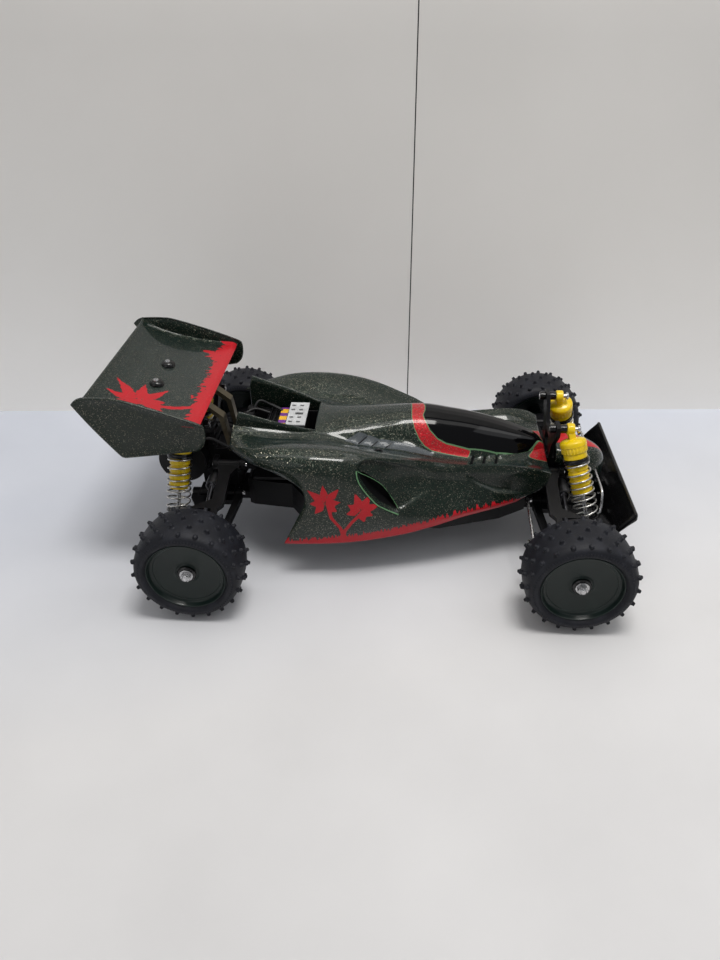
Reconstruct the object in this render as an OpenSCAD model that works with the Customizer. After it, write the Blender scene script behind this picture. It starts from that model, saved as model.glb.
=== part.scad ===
// Four-wheel-drive radio-controlled off-road buggy.
// Frame: +X is the car's front, +Y its left, +Z up. The origin is on the ground, midway between the axles.
// The suspension is drawn at full droop, as the car hangs with no weight on its springs.

/* [Running gear] */
// Distance between the front and rear axles
wheelbase = 255; // [253:1:257]
// Radius of a tyre over its spikes
tyre_radius = 38.5; // [38:0.25:39]
// Width of a tyre
tyre_width = 35; // [34:0.5:36]
// Distance between the outer faces of the tyres
overall_width = 242; // [240:1:244]
// Height of a tyre spike
spike_height = 2.5; // [2:0.25:3]
// Spikes in one ring round the tyre
spikes_per_ring = 20; // [16:2:24]

/* [Suspension] */
// Radius of a shock absorber's cap
cap_radius = 9.1; // [8.5:0.1:9.1]
// Radius of a shock absorber's ribbed cylinder
cylinder_radius = 7.1; // [6.8:0.1:7.2]
// Diameter of the spring wire
wire_diameter = 1.3; // [1:0.1:1.4]
// Turns of each spring
spring_turns = 8; // [6:1:9]

/* [Body and wing] */
// Thickness of the body shell
shell_thickness = 1.2; // [1:0.1:1.5]
// Thickness of the wing plate
wing_thickness = 1.6; // [1.4:0.1:2]
// Half of the wing plate's span
wing_half_span = 66; // [64:1:68]

/* [Hidden] */
$fn = 48;

axle_x = wheelbase / 2;
axle_z = tyre_radius;
wheel_out = overall_width / 2;
wheel_mid = wheel_out - tyre_width / 2;
running = 0.05;
pin_r = 1.5;

// Suspension pivots, as [y, z]; the upper arm is the lower one moved up, so the carrier stays upright
lower_in = [20, 36];
lower_out = [72, 24];
arm_rise = 26;
arm_length = norm(lower_out - lower_in);
arm_slope = atan2(lower_out[1] - lower_in[1], lower_out[0] - lower_in[0]);
kingpin_y = 80;
eye_out = [50, 33];

// Posts through the shock absorbers' upper eyes, and their spacers
post_r = 1.6;
post_bore = 1.65;
spacer_r = 2.8;

// Shock absorber ends
front_top = [126.7, 24, 100.5];
front_eye = [145.5, 50, 33];
rear_top = [-145, 27, 100];
rear_eye = [-150.5, 54, 33];

// Drive line
diff_z = 52;
cup_y = 33;
motor_x = -150.3;
motor_z = 65.2;
motor_r = 17.6;
motor_left = 6.5;
motor_right = -22.5;
// The motor's pinion and the spur gear it drives lie between these planes, inside a round case
spur_right = 9;
spur_left = 13;
spur_case_r = 22.4;

// Steering
steer_pivot = [78, 0];
inner_ball = [102, 16, 50.5];
outer_ball = [102.6, 76, 39];

// ---------- helpers ----------

module along_x(r, x0, x1) {
    translate([x0, 0, 0]) rotate([0, 90, 0]) cylinder(r = r, h = x1 - x0);
}

module along_y(r, y0, y1) {
    translate([0, y1, 0]) rotate([90, 0, 0]) cylinder(r = r, h = y1 - y0);
}

// Copies a left-hand piece to the given side: 1 is left, -1 is right
module on_side(side) {
    mirror([0, side < 0 ? 1 : 0, 0]) children();
}

module both_sides() {
    on_side(1) children();
    on_side(-1) children();
}

// Turns the local z axis to run from a to b, and starts at a
module aim(a, b) {
    v = b - a;
    translate(a) rotate([0, acos(v[2] / norm(v)), atan2(v[1], v[0])]) children();
}

function unit(v) = v / max(norm(v), 1e-6);

// Outward normal at point i, j of a grid of surface points
function grid_normal(g, i, j) =
    let(rows = len(g), cols = len(g[0]))
    let(along = g[min(i + 1, rows - 1)][j] - g[max(i - 1, 0)][j])
    let(across = g[i][min(j + 1, cols - 1)] - g[i][max(j - 1, 0)])
    unit(cross(across, along));

// A closed sheet of even thickness whose outer face passes through the grid of points
module sheet(g, thickness) {
    rows = len(g);
    cols = len(g[0]);
    outer = [for (i = [0:rows - 1]) for (j = [0:cols - 1]) g[i][j]];
    inner = [
        for (i = [0:rows - 1]) for (j = [0:cols - 1]) g[i][j] - thickness * grid_normal(g, i, j)
    ];
    n = rows * cols;
    function at(i, j) = i * cols + j;
    faces = concat(
        [for (i = [0:rows - 2]) for (j = [0:cols - 2]) [at(i, j), at(i + 1, j), at(i + 1, j + 1)]],
        [for (i = [0:rows - 2]) for (j = [0:cols - 2]) [at(i, j), at(i + 1, j + 1), at(i, j + 1)]],
        [for (i = [0:rows - 2]) for (j = [0:cols - 2])
            [n + at(i, j), n + at(i + 1, j + 1), n + at(i + 1, j)]],
        [for (i = [0:rows - 2]) for (j = [0:cols - 2])
            [n + at(i, j), n + at(i, j + 1), n + at(i + 1, j + 1)]],
        [for (i = [0:rows - 2]) [at(i, 0), n + at(i, 0), n + at(i + 1, 0)]],
        [for (i = [0:rows - 2]) [at(i, 0), n + at(i + 1, 0), at(i + 1, 0)]],
        [for (i = [0:rows - 2])
            [at(i, cols - 1), n + at(i + 1, cols - 1), n + at(i, cols - 1)]],
        [for (i = [0:rows - 2]) [at(i, cols - 1), at(i + 1, cols - 1), n + at(i + 1, cols - 1)]],
        [for (j = [0:cols - 2]) [at(0, j), n + at(0, j + 1), n + at(0, j)]],
        [for (j = [0:cols - 2]) [at(0, j), at(0, j + 1), n + at(0, j + 1)]],
        [for (j = [0:cols - 2]) [at(rows - 1, j), n + at(rows - 1, j), n + at(rows - 1, j + 1)]],
        [for (j = [0:cols - 2])
            [at(rows - 1, j), n + at(rows - 1, j + 1), at(rows - 1, j + 1)]]
    );
    polyhedron(points = concat(outer, inner), faces = faces, convexity = 10);
}

// Value and place on a feature line, whose keys are [x, y, z]
function line_y(line, x) = lookup(x, [for (k = line) [k[0], k[1]]]);
function line_z(line, x) = lookup(x, [for (k = line) [k[0], k[2]]]);

// ---------- body shell ----------

// Feature lines of the body's left half: station, half width, height
spine = [[-108, 0, 101], [-80, 0, 98], [-52, 0, 95], [-43, 0, 96], [-5, 0, 99.5], [16, 0, 101.5],
    [27, 0, 102], [45, 0, 99.6], [60, 0, 97], [75, 0, 93.3], [89, 0, 89], [104, 0, 83], [111, 0, 78.5],
    [115, 0, 74.5]];
canopy_base = [[-108, 28, 100.8], [-80, 26.5, 97.5], [-61, 24, 94], [-51, 21.5, 93.3], [-40, 21, 92],
    [-10, 21.5, 90], [14, 22, 88], [30, 25.5, 82.5], [60, 24, 77.5], [90, 17.5, 74.8], [106, 10, 73.6],
    [115, 5.5, 73]];
shoulder = [[-108, 34, 97.2], [-99, 35.5, 96], [-87, 36, 95], [-75, 34.5, 93.4], [-60, 32.1, 91.7],
    [-50, 31, 90.6], [-40, 29.5, 89.1], [-30, 28.6, 87.2], [-20, 28.3, 85.7], [-10, 29.3, 85],
    [0, 30.7, 84.5], [10, 32.1, 84], [20, 33, 82.4], [30, 33, 80], [45, 32.4, 77.4], [60, 31.5, 75.8],
    [75, 31, 75.2], [90, 31, 74.6], [104, 31, 73.5], [115, 31, 72]];
pod_crown = [[-108, 43, 93.8], [-99, 49.5, 95.4], [-90, 53.3, 96.9], [-80, 55.6, 98.7],
    [-70, 56.8, 99.7], [-60, 57.1, 100.1], [-50, 57, 99.9], [-40, 56.8, 99.3], [-30, 56.3, 98.3],
    [-20, 55.8, 96.4], [-10, 54.8, 93.8], [0, 52.1, 91.1], [10, 48.9, 88.2], [20, 45.2, 85.4],
    [30, 40.9, 82], [45, 38.7, 78.7], [60, 39.3, 78], [75, 39.7, 79.1], [90, 41.1, 79.8],
    [100, 42.1, 79], [108, 42.4, 77.3], [115, 41, 74.3]];
// Feature lines down the side: station, x, half width, height
pod_edge = [[-108, -108, 43, 91.3], [-99, -99, 52, 92.3], [-87, -87, 60, 94], [-70, -70, 64, 95.8],
    [-55, -55, 64.8, 96.2], [-40, -40, 64.5, 95.4], [-30, -30, 64, 94], [-18, -18, 62.6, 90.6],
    [-8, -8, 60, 87], [2, 2, 55, 84], [12, 12, 50, 81.5], [24, 24, 45.6, 78.5], [60, 59, 40.6, 73.8],
    [98, 97, 42.7, 74.2], [115, 114, 41.3, 70.2]];
pod_side = [[-108, -108, 41.5, 88.5], [-99, -99, 50.5, 88], [-87, -87, 60.5, 88.6],
    [-70, -70, 67, 89], [-55, -55, 69.3, 88.5], [-40, -40, 69.6, 87], [-30, -30, 69.3, 85],
    [-18, -18, 68, 80.5], [-8, -8, 64.5, 76], [2, 2, 59, 72.5], [12, 12, 53, 70.5],
    [24, 24, 48.4, 69], [60, 57.5, 42.8, 65], [98, 94.5, 42.5, 65], [115, 111, 41.1, 63.5]];
pod_waist = [[-108, -108, 40, 87], [-99, -99, 48, 85.5], [-75, -75, 62, 83.5], [-57, -57, 69.5, 78.5],
    [-53, -50.5, 71.3, 71], [-45, -43, 71.7, 69], [-25, -25, 71.5, 67], [-8, -8, 69, 63.5],
    [6, 6, 63, 60], [24, 24, 56, 58], [60, 56, 48, 56.5], [98, 91, 43, 57], [115, 105, 40.7, 57.8]];
skirt_bulge = [[-108, -108, 39, 86.4], [-99, -99, 46, 84.4], [-75, -75, 58, 81.5],
    [-57, -54, 69.6, 73.5], [-53, -53, 72.6, 52], [-45, -46, 72.8, 51], [-25, -26, 72.2, 50],
    [-8, -8, 69.8, 48.5], [11, 11, 65, 47.5], [40, 38, 58.4, 47.5], [61, 58, 53, 49.5],
    [98, 88, 43.8, 51.3], [115, 98, 40.5, 53.2]];
skirt_lip = [[-108, -108, 38, 86], [-99, -99, 44.5, 83.8], [-94, -94, 47.8, 82.3],
    [-75, -73, 57, 78.5], [-57, -51.5, 69.4, 70.5], [-53, -70, 71.5, 33], [-45, -59, 71, 32.4],
    [-30, -34, 69.8, 33], [11, 10, 63, 36], [40, 37, 57, 41], [61, 56, 52, 45],
    [98, 83.5, 43.5, 47.2], [115, 93, 40.3, 49]];
stations = [-108, -101, -94, -87, -80, -73, -65, -57, -53, -45, -37, -30, -22, -15, -8, 0, 8, 16, 24,
    32, 42, 51, 60, 70, 80, 90, 98, 104, 110, 115];
// Half width of the flat ridge along the spine
ridge = 5;

// Height of the hump at half width y: flat on the ridge, then falling ever more steeply
function hump_z(x, y) =
    let(top = line_z(spine, x), w = line_y(canopy_base, x), foot = line_z(canopy_base, x))
    let(s = max(0, y - ridge) / max(w - ridge, 0.1), lip = 0.25 * min(y / ridge, 1))
    top - lip - (top - 0.25 - foot) * (0.3 * s + 0.7 * pow(s, 2.5));

function side_point(line, at) = [
    lookup(at, [for (k = line) [k[0], k[1]]]),
    lookup(at, [for (k = line) [k[0], k[2]]]),
    lookup(at, [for (k = line) [k[0], k[3]]])
];

function deck_point(line, x) = [x, line_y(line, x), line_z(line, x)];

// Half way up the pod's inner flank, which is rounded
function rise_point(x) =
    let(a = deck_point(shoulder, x), b = deck_point(pod_crown, x))
    [x, a[1] + 0.45 * (b[1] - a[1]), a[2] + 0.616 * (b[2] - a[2])];

function half_section(x) =
    let(w = line_y(canopy_base, x))
    concat(
        [for (k = [0, 0.23, 0.45, 0.66, 0.85, 1]) [x, w * k, hump_z(x, w * k)]],
        [deck_point(shoulder, x), rise_point(x), deck_point(pod_crown, x)],
        [for (l = [pod_edge, pod_side, pod_waist, skirt_bulge, skirt_lip]) side_point(l, x)]
    );

function full_section(x) =
    let(half = half_section(x), n = len(half))
    concat([for (j = [n - 1:-1:1]) [half[j][0], half[j][1], half[j][2]]],
        [for (j = [0:n - 1]) [half[j][0], -half[j][1], half[j][2]]]);

// Corners of the opening in the rear deck, and of the fins that stand beside it
deck_opening = [[-130, -28], [-51, -21], [-51, 21], [-130, 28]];
fin_outline = [[-103.3, 111], [-106, 100], [-103, 92], [-52, 91], [-50.6, 94]];
intake_outline = [[-19, 88.3], [-12.5, 82.9], [-6.5, 77.6], [-1, 71.5], [4, 64.3], [8, 58.2],
    [9.8, 53.4], [3.1, 56.9], [-4, 62.5], [-9, 68.2], [-13.5, 74.5], [-17, 80.6]];
// The antenna tube's place
antenna = [-5, -41];

nose_stations = [121.6, 126, 130.5, 132.5, 138, 144, 151, 156, 159];
nose_ridge = [[121.6, 17, 79], [136, 18, 77], [148, 16.5, 74], [156, 11, 69.5], [159, 4, 66]];
nose_edge = [[121.6, 17, 67.4], [130.5, 18, 67.4], [132.5, 18, 58.5], [136, 18, 58],
    [148, 16.5, 54], [156, 11, 51.5], [159, 4, 58]];

function nose_section(x) =
    let(w = line_y(nose_ridge, x), top = line_z(nose_ridge, x), low = line_z(nose_edge, x))
    [for (k = [0:12])
        let(a = 15 * k)
        [x, w * cos(a), low + (top - low) * pow(sin(a), 0.75)]];

module body_shell() {
    color("darkslategray") {
        difference() {
            sheet([for (x = stations) full_section(x)], shell_thickness);
            translate([0, 0, 80]) linear_extrude(height = 40) polygon(deck_opening);
            both_sides()
                translate([0, 80, 0]) rotate([90, 0, 0])
                    linear_extrude(height = 22) polygon(intake_outline);
            translate([antenna[0], antenna[1], 80]) cylinder(r = 2.5, h = 20);
        }
        both_sides() translate([-51, 21.2, 0]) rotate([90, 0, -7.5]) translate([51, 0, 0])
            linear_extrude(height = shell_thickness, center = true) polygon(fin_outline);
        difference() {
            sheet([for (x = nose_stations) nose_section(x)], shell_thickness);
            translate([150.1, -30, 45]) cube([2.8, 60, 17.4]);
        }
    }
}

// ---------- wing ----------

wing_top = [[-195.7, 136], [-193.5, 139], [-187, 134], [-180, 130.3], [-172, 127.6], [-165, 125.5],
    [-157, 123.8], [-149, 122.3], [-138, 120.8], [-121, 120.2], [-117, 118.4]];
end_plate = [[-202, 135.5], [-195, 140.5], [-179, 141], [-171, 140.5], [-156, 136], [-141, 131],
    [-126, 125.5], [-117.5, 122], [-116.5, 116.5], [-117, 110.6], [-122, 102.7], [-174, 95.8]];
wing_screws = [[-162, 15], [-162, -15]];

module rear_wing() {
    color("darkslategray") difference() {
        union() {
            rotate([90, 0, 0]) linear_extrude(height = 2 * wing_half_span, center = true)
                polygon(concat(wing_top, [
                    for (k = [len(wing_top) - 1:-1:0]) wing_top[k] - [0, wing_thickness]
                ]));
            both_sides() translate([0, wing_half_span + 1, 0]) rotate([90, 0, 0])
                linear_extrude(height = 1.8) polygon(end_plate);
        }
        for (s = wing_screws) translate([s[0], s[1], 110]) cylinder(r = 1.6, h = 20);
    }
}

stay_path = [[-113, 71.5], [-117, 100], [-138, 117.6], [-168, 124.2]];

module wing_stays() {
    color("silver") for (s = [1, -1]) difference() {
        translate([0, 13 * s + 3.5, 0]) rotate([90, 0, 0]) linear_extrude(height = 7) difference() {
            polygon(concat([for (p = stay_path) p - [0, 0.2]], [[-168, 121.4], [-140, 114.8],
                [-120.5, 98.6], [-116, 71.5]]));
            polygon(concat([for (p = wing_top) p - [0, wing_thickness - 0.05]],
                [[-110, 140], [-200, 140]]));
        }
        translate([-162, 15 * s, 110]) cylinder(r = 1.6, h = 20);
    }
}

// ---------- bumper ----------

function bumper_row(t, half) =
    [for (k = [-8:8])
        let(u = k / 8, y = half * sin(90 * u), sweep = 4 * pow(abs(u), 3))
        [156.5 + 15 * pow(t, 0.7) - 9 * sin(180 * t) * 0.5 - sweep * (1 - t), y, 24 + 33 * t]];

module front_bumper() {
    color("black") {
        sheet([for (t = [0:0.125:1]) bumper_row(1 - t, 63 - 22 * pow(1 - t, 4))], 2);
        for (s = [1, -1]) translate([146, 9 * s - 1.5, 25]) cube([12, 3, 11]);
        translate([128, -14, 24]) cube([29.5, 28, 1.95]);
    }
}

// ---------- chassis and what it holds ----------

tub_outline = [[-104, 18], [-100, 20], [-70, 24], [-56, 44], [40, 44], [84, 30], [104, 17.5]];
tub_floor = 26;
tub_rim = 48;
// The rim is lower in front, where the steering arm swings over it
tub_front_rim = 43.6;
deck_posts = [[-94, 16], [24, 27]];

function both_edges(half) =
    concat(half, [for (k = [len(half) - 1:-1:0]) [half[k][0], -half[k][1]]]);

module chassis_tub() {
    color([0.06, 0.06, 0.07]) difference() {
        union() {
            difference() {
                translate([0, 0, tub_floor]) linear_extrude(height = tub_rim - tub_floor) difference() {
                    polygon(both_edges(tub_outline));
                    offset(delta = -2) polygon(both_edges(tub_outline));
                }
                translate([72, -50, tub_front_rim]) cube([40, 100, 10]);
            }
            translate([0, 0, tub_floor]) linear_extrude(height = 2.5) polygon(both_edges(tub_outline));
            for (p = deck_posts) for (s = [1, -1]) translate([p[0], p[1] * s, 27]) cylinder(r = 3, h = 29);
            translate([-97, -30, 56]) cube([125, 60, 2]);
            translate([steer_pivot[0], 0, 27]) cylinder(r = 4, h = 16.8);
            translate([steer_pivot[0], 0, 43]) cylinder(r = 1.7, h = 6.4);
            translate([antenna[0] - 4, antenna[1], 56]) cube([8, 13, 2]);
            translate([antenna[0], antenna[1], 27]) cylinder(r = 2.8, h = 52);
        }
        translate([antenna[0], antenna[1], 60]) cylinder(r = pin_r, h = 30);
    }
}

cell_r = 11;
cell_length = 42.6;
cell_pitch = 43;
pack_rear = -64;
battery_z = 40;

module battery_pack() {
    color("royalblue") {
        for (s = [1, -1]) for (k = [0:2])
            translate([pack_rear + cell_pitch * k, 11.6 * s, battery_z]) along_x(cell_r, 0, cell_length);
        for (x = [pack_rear - 1.5, pack_rear + 127.9]) translate([x, -20, 30]) cube([1.2, 40, 18]);
    }
}

module radio_gear() {
    color([0.12, 0.12, 0.13]) {
        translate([-90, -17, 58.2]) cube([30, 34, 31]);
        translate([-45, -19, 58.2]) cube([42, 34, 16]);
    }
    color("gainsboro") difference() {
        translate([-73, -15.5, 93.2]) cube([14, 33, 1.2]);
        for (r = [0:4]) for (c = [0, 1])
            translate([-70.5 + 6.4 * c, -12 + 6.4 * r, 92]) cube([3, 2.4, 4]);
    }
    color("silver") for (y = [-12, 14]) translate([-66, y, 89.4]) cylinder(r = 1.2, h = 3.7);
    color([0.1, 0.1, 0.11]) {
        // Steering servo, its shaft and its horn
        translate([44, -33.9, 28.55]) cube([20, 11, 26]);
        translate([63.9, -26, 49]) along_x(2.5, 0, 5.6);
        translate([69.4, -29, 46.5]) cube([2, 18, 5]);
    }
}

module gearbox_front() {
    color([0.07, 0.07, 0.08]) difference() {
        union() {
            translate([112.5, -15, 31]) cube([8.5, 30, 40]);
            translate([112.5, -15, 31]) cube([30, 30, 31]);
            translate([112.5, -11.5, 61]) cube([30, 23, 9]);
            translate([142, -5, 56]) cube([8.45, 10, 9]);
            both_sides() {
                translate([0, lower_in[0], lower_in[1]]) along_x(4, 114.5, 140.5);
                translate([114.5, 14, 32]) cube([26, 6, 8]);
                for (x = [104, 124.5]) {
                    translate([0, lower_in[0], lower_in[1] + arm_rise]) along_x(3.8, x, x + 3.5);
                    translate([x, 10, 58.2]) cube([3.5, 10, 7.6]);
                }
                translate([axle_x, 0, diff_z]) along_y(7, 14, 19);
            }
            translate([103, -15, 58]) cube([12, 30, 8]);
            translate([104.05, -15, 26]) cube([38.45, 30, 6]);
        }
        translate([115, -12.5, 37]) cube([25, 25, 24]);
        translate([axle_x, 0, diff_z]) along_y(4.05, -30, 30);
        translate([0, 0, diff_z]) along_x(2.05, 100, 120);
        both_sides() {
            translate([0, lower_in[0], lower_in[1]]) along_x(pin_r + running, 100, 150);
            translate([0, lower_in[0], lower_in[1] + arm_rise]) along_x(pin_r + running, 100, 135);
        }
        for (x = [117, 136]) for (y = [-8, 8]) translate([x, y, 65]) cylinder(r = 1.3, h = 10);
    }
}

module gearbox_rear() {
    color([0.07, 0.07, 0.08]) difference() {
        union() {
            translate([-139, -13, 31]) cube([26.5, 28.4, 40]);
            both_sides() {
                translate([0, lower_in[0], lower_in[1]]) along_x(4, -140.5, -114.5);
                translate([-140.5, 12, 32]) cube([26, 8, 8]);
                for (x = [-107.5, -128]) {
                    translate([0, lower_in[0], lower_in[1] + arm_rise]) along_x(3.8, x, x + 3.5);
                    translate([x, 10, 58.2]) cube([3.5, 10, 7.6]);
                }
            }
            translate([-axle_x, 0, diff_z]) along_y(7, -19, 13.5);
            translate([-axle_x, 0, diff_z]) along_y(spur_case_r, spur_left - 6.2, spur_left + 2.4);
            translate([motor_x, 0, motor_z]) along_y(19, motor_left + 0.2, spur_left + 2.4);
            translate([-119, -13, 58]) cube([16, 26.5, 8]);
            translate([-139, -13, 26]) cube([34.95, 26.5, 6]);
            translate([-132.3, -13, 70]) cube([5.3, 26, 4.45]);
            translate([-118, -15, 66]) cube([13, 31, 5.3]);
        }
        translate([-136.5, -10.5, 37]) cube([22, 15, 29]);
        translate([motor_x, 0, motor_z]) along_y(motor_r + 0.4, -40, motor_left + 0.1);
        translate([-axle_x, 0, diff_z]) along_y(4.05, -30, 30);
        translate([-axle_x, 0, diff_z]) along_y(spur_case_r - 1.2, spur_right - 0.7, spur_left + 0.4);
        translate([motor_x, 0, motor_z]) along_y(7.4, motor_left, spur_left + 0.4);
        translate([0, 0, diff_z]) along_x(2.05, -120, -100);
        both_sides() {
            translate([0, lower_in[0], lower_in[1]]) along_x(pin_r + running, -150, -100);
            translate([0, lower_in[0], lower_in[1] + arm_rise]) along_x(pin_r + running, -135, -100);
        }
    }
}

module motor() {
    color("dimgray") translate([motor_x, 0, motor_z]) {
        along_y(motor_r, motor_right, motor_left);
        along_y(6.5, motor_left - 0.1, motor_left + 1.2);
        along_y(1.6, motor_left, spur_left - 0.2);
        along_y(5, motor_right - 3, motor_right + 0.1);
    }
}

// ---------- gears ----------

// Radius of a crown gear, and the teeth and size of the pinion that drives it
crown_r = 8.6;
crown_face = 4.1;
prop_teeth = 9;
prop_pitch_r = 2.59;
spur_pitch_r = 20;
pinion_pitch_r = 6;
// Turns the pinion so that its gaps meet the spur gear's teeth
pinion_turn = -1.7;

module spur(teeth, pitch_r, depth, bore, y0, y1) {
    half = 360 / teeth / 4.6;
    root = pitch_r - depth;
    tip = pitch_r + depth * 0.7;
    translate([0, y1, 0]) rotate([90, 0, 0]) linear_extrude(height = y1 - y0) difference() {
        union() {
            circle(r = root);
            for (k = [0:teeth - 1]) rotate(360 / teeth * k) polygon([
                [root * cos(half * 1.2) - 0.3, -root * sin(half * 1.2)], [tip, -tip * sin(half * 0.55)],
                [tip, tip * sin(half * 0.55)], [root * cos(half * 1.2) - 0.3, root * sin(half * 1.2)]
            ]);
        }
        circle(r = bore);
    }
}

module crown_gear(face_y, facing) {
    translate([0, face_y, 0]) {
        along_y(crown_r, min(0, -3 * facing), max(0, -3 * facing));
        for (k = [0:23]) rotate([0, 15 * k, 0])
            translate([crown_r - 3.6, facing > 0 ? -0.1 : -1.1, -0.4]) cube([3.4, 1.2, 0.8]);
    }
}

// The cups a differential holds its drive shafts in
module drive_cups() {
    both_sides() difference() {
        along_y(4.6, 24.5, 35);
        along_y(3.3, 29.4, 40);
    }
}

module differential_front() {
    color("silver") translate([axle_x, 0, diff_z]) {
        along_y(4, -25, 25);
        drive_cups();
        crown_gear(crown_face, -1);
    }
}

module differential_rear() {
    color("silver") translate([-axle_x, 0, diff_z]) {
        along_y(4, -25, 25);
        drive_cups();
        crown_gear(-crown_face, 1);
        spur(50, spur_pitch_r, 0.7, 3.9, spur_right, spur_left);
    }
}

module motor_pinion() {
    color("gold") translate([motor_x, 0, motor_z]) rotate([0, pinion_turn, 0])
        spur(15, pinion_pitch_r, 0.7, 1.65, spur_right, spur_left);
}

module prop_shaft() {
    color("silver") translate([0, 0, diff_z]) {
        along_x(2, 5 - axle_x, axle_x - 5);
        for (x = [5.1 - axle_x, axle_x - 8.2]) translate([x, 0, 0]) rotate([0, 0, -90])
            spur(prop_teeth, prop_pitch_r, 0.5, 1.2, 0, 3.1);
    }
}

// ---------- towers, posts, pins ----------

module tower(x0, x1, top, base_z, base_y) {
    difference() {
        translate([x0, 0, 0]) rotate([90, 0, 90]) linear_extrude(height = x1 - x0) difference() {
            polygon([[-base_y, base_z], [base_y, base_z], [base_y + 3, base_z + 12],
                [top[1] + 5, top[2] - 4], [top[1] + 5, top[2] + 3], [top[1] - 5, top[2] + 3.5],
                [9, top[2] - 14], [-9, top[2] - 14], [-top[1] + 5, top[2] + 3.5],
                [-top[1] - 5, top[2] + 3], [-top[1] - 5, top[2] - 4], [-base_y - 3, base_z + 12]]);
            polygon([[-7, base_z + 4], [7, base_z + 4], [6, top[2] - 17], [-6, top[2] - 17]]);
        }
        both_sides() translate([0, top[1], top[2]]) along_x(post_bore, x0 - 1, x1 + 1);
    }
}

module tower_front() {
    color([0.05, 0.05, 0.06]) {
        tower(116.6, 119.4, front_top, 71.05, 15);
    }
}

module tower_rear() {
    color([0.05, 0.05, 0.06]) {
        tower(-131.5, -128.6, rear_top, 74.5, 13);
    }
}

module pins_and_screws() {
    color("silver") {
        both_sides() {
            translate([0, lower_in[0], lower_in[1]]) {
                along_x(pin_r, 107, 148.5);
                along_x(pin_r, -148.5, -107);
            }
            translate([0, lower_in[0], lower_in[1] + arm_rise]) {
                along_x(pin_r, 103, 129);
                along_x(pin_r, -129, -103);
            }
            translate([0, front_top[1], front_top[2]]) {
                along_x(post_r, 112.3, 132);
                along_x(spacer_r, 119.5, 123.9);
                along_x(spacer_r, 112.3, 116.5);
                along_x(spacer_r, 130.6, 132.4);
            }
            translate([0, rear_top[1], rear_top[2]]) {
                along_x(post_r, -150, -124.4);
                along_x(spacer_r, -142.2, -131.6);
                along_x(spacer_r, -128.5, -124.4);
                along_x(spacer_r, -150.2, -148.3);
            }
        }
        for (s = wing_screws) translate([s[0], s[1], 0]) {
            translate([0, 0, 117]) cylinder(r = pin_r, h = 9);
            translate([0, 0, 125.8]) cylinder(r1 = 3.6, r2 = 2.4, h = 1.9);
        }
        translate([151.5, 0, 61]) along_y(1, -40, 40);
        both_sides() aim([151.5, 40, 61], [151.5, 46, 52]) cylinder(r = 1, h = 10.8);
    }
}

// ---------- suspension ----------

// Plan of the lower arm in its own sloping plane: x from the axle, distance from the inner pivot
lower_plan = [[-19, 5.6], [19.5, 5.6], [12.6, 21], [12.6, 40], [9, 43.5], [-12, 43.5]];
lower_window = [[-13, 10], [5, 10], [4, 40], [-8, 40]];

module arm_plane(rise) {
    translate([0, lower_in[0], lower_in[1] + rise]) rotate([arm_slope, 0, 0]) children();
}

module lower_arm(end, eye) {
    eye_x = abs(eye[0]) - axle_x;
    color([0.06, 0.06, 0.07]) translate([axle_x * end, 0, 0]) mirror([end < 0 ? 1 : 0, 0, 0])
        difference() {
            union() {
                arm_plane(0) {
                    translate([0, 0, -2.4]) linear_extrude(height = 4.8) difference() {
                        polygon(lower_plan);
                        polygon(lower_window);
                    }
                    for (x = [-19, 13.5]) {
                        along_x(3.8, x, x + 5.5);
                        translate([x, 0, -2.4]) cube([5.5, 8, 4.8]);
                    }
                    for (x = [-12.2, 8.3]) {
                        translate([0, arm_length, 0]) along_x(3.6, x, x + 3.9);
                        translate([x, 40, -2.4]) cube([3.9, arm_length - 40, 4.8]);
                    }
                }
                translate([0, eye[1], eye[2]]) {
                    along_x(3.4, 8, 11.3);
                    along_x(pin_r, 11, eye_x + 3);
                    along_x(2.6, eye_x + 2.7, eye_x + 4.6);
                }
                translate([8, eye[1] - 3.4, eye[2] - 5]) cube([3.3, 6.8, 5]);
            }
            arm_plane(0) {
                along_x(pin_r + running, -30, 30);
                translate([0, arm_length, 0]) along_x(pin_r + running, -30, 30);
            }
        }
}

upper_plan = [[-18.5, 4], [-3.5, 4], [-5.5, 12], [-5.5, 36], [10.2, 44.6], [-10.2, 44.6], [-14, 40],
    [-14, 12]];

module upper_arm(end) {
    color([0.06, 0.06, 0.07]) translate([axle_x * end, 0, 0]) mirror([end < 0 ? 1 : 0, 0, 0])
        arm_plane(arm_rise) difference() {
            union() {
                translate([0, 0, -2]) linear_extrude(height = 4) polygon(upper_plan);
                along_x(3.4, -19.5, -3.5);
                translate([-19.5, 0, -2]) cube([16, 5, 4]);
                for (x = [-10.2, 6.3]) {
                    translate([0, arm_length, 0]) along_x(3.2, x, x + 3.9);
                    translate([x, 44, -2]) cube([3.9, arm_length - 44, 4]);
                }
            }
            along_x(pin_r + running, -30, 30);
            translate([0, arm_length, 0]) along_x(pin_r + running, -30, 30);
        }
}

// The carrier stands between the arms' outer pivots; its pins turn in the arms
module carrier_ends() {
    translate([0, lower_out[0], lower_out[1]]) {
        along_x(3.2, -7.9, 7.9);
        along_x(pin_r, -12.6, 12.6);
    }
    translate([0, lower_out[0], lower_out[1] + arm_rise]) {
        along_x(3, -6, 6);
        along_x(pin_r, -10.6, 10.6);
    }
}

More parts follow.
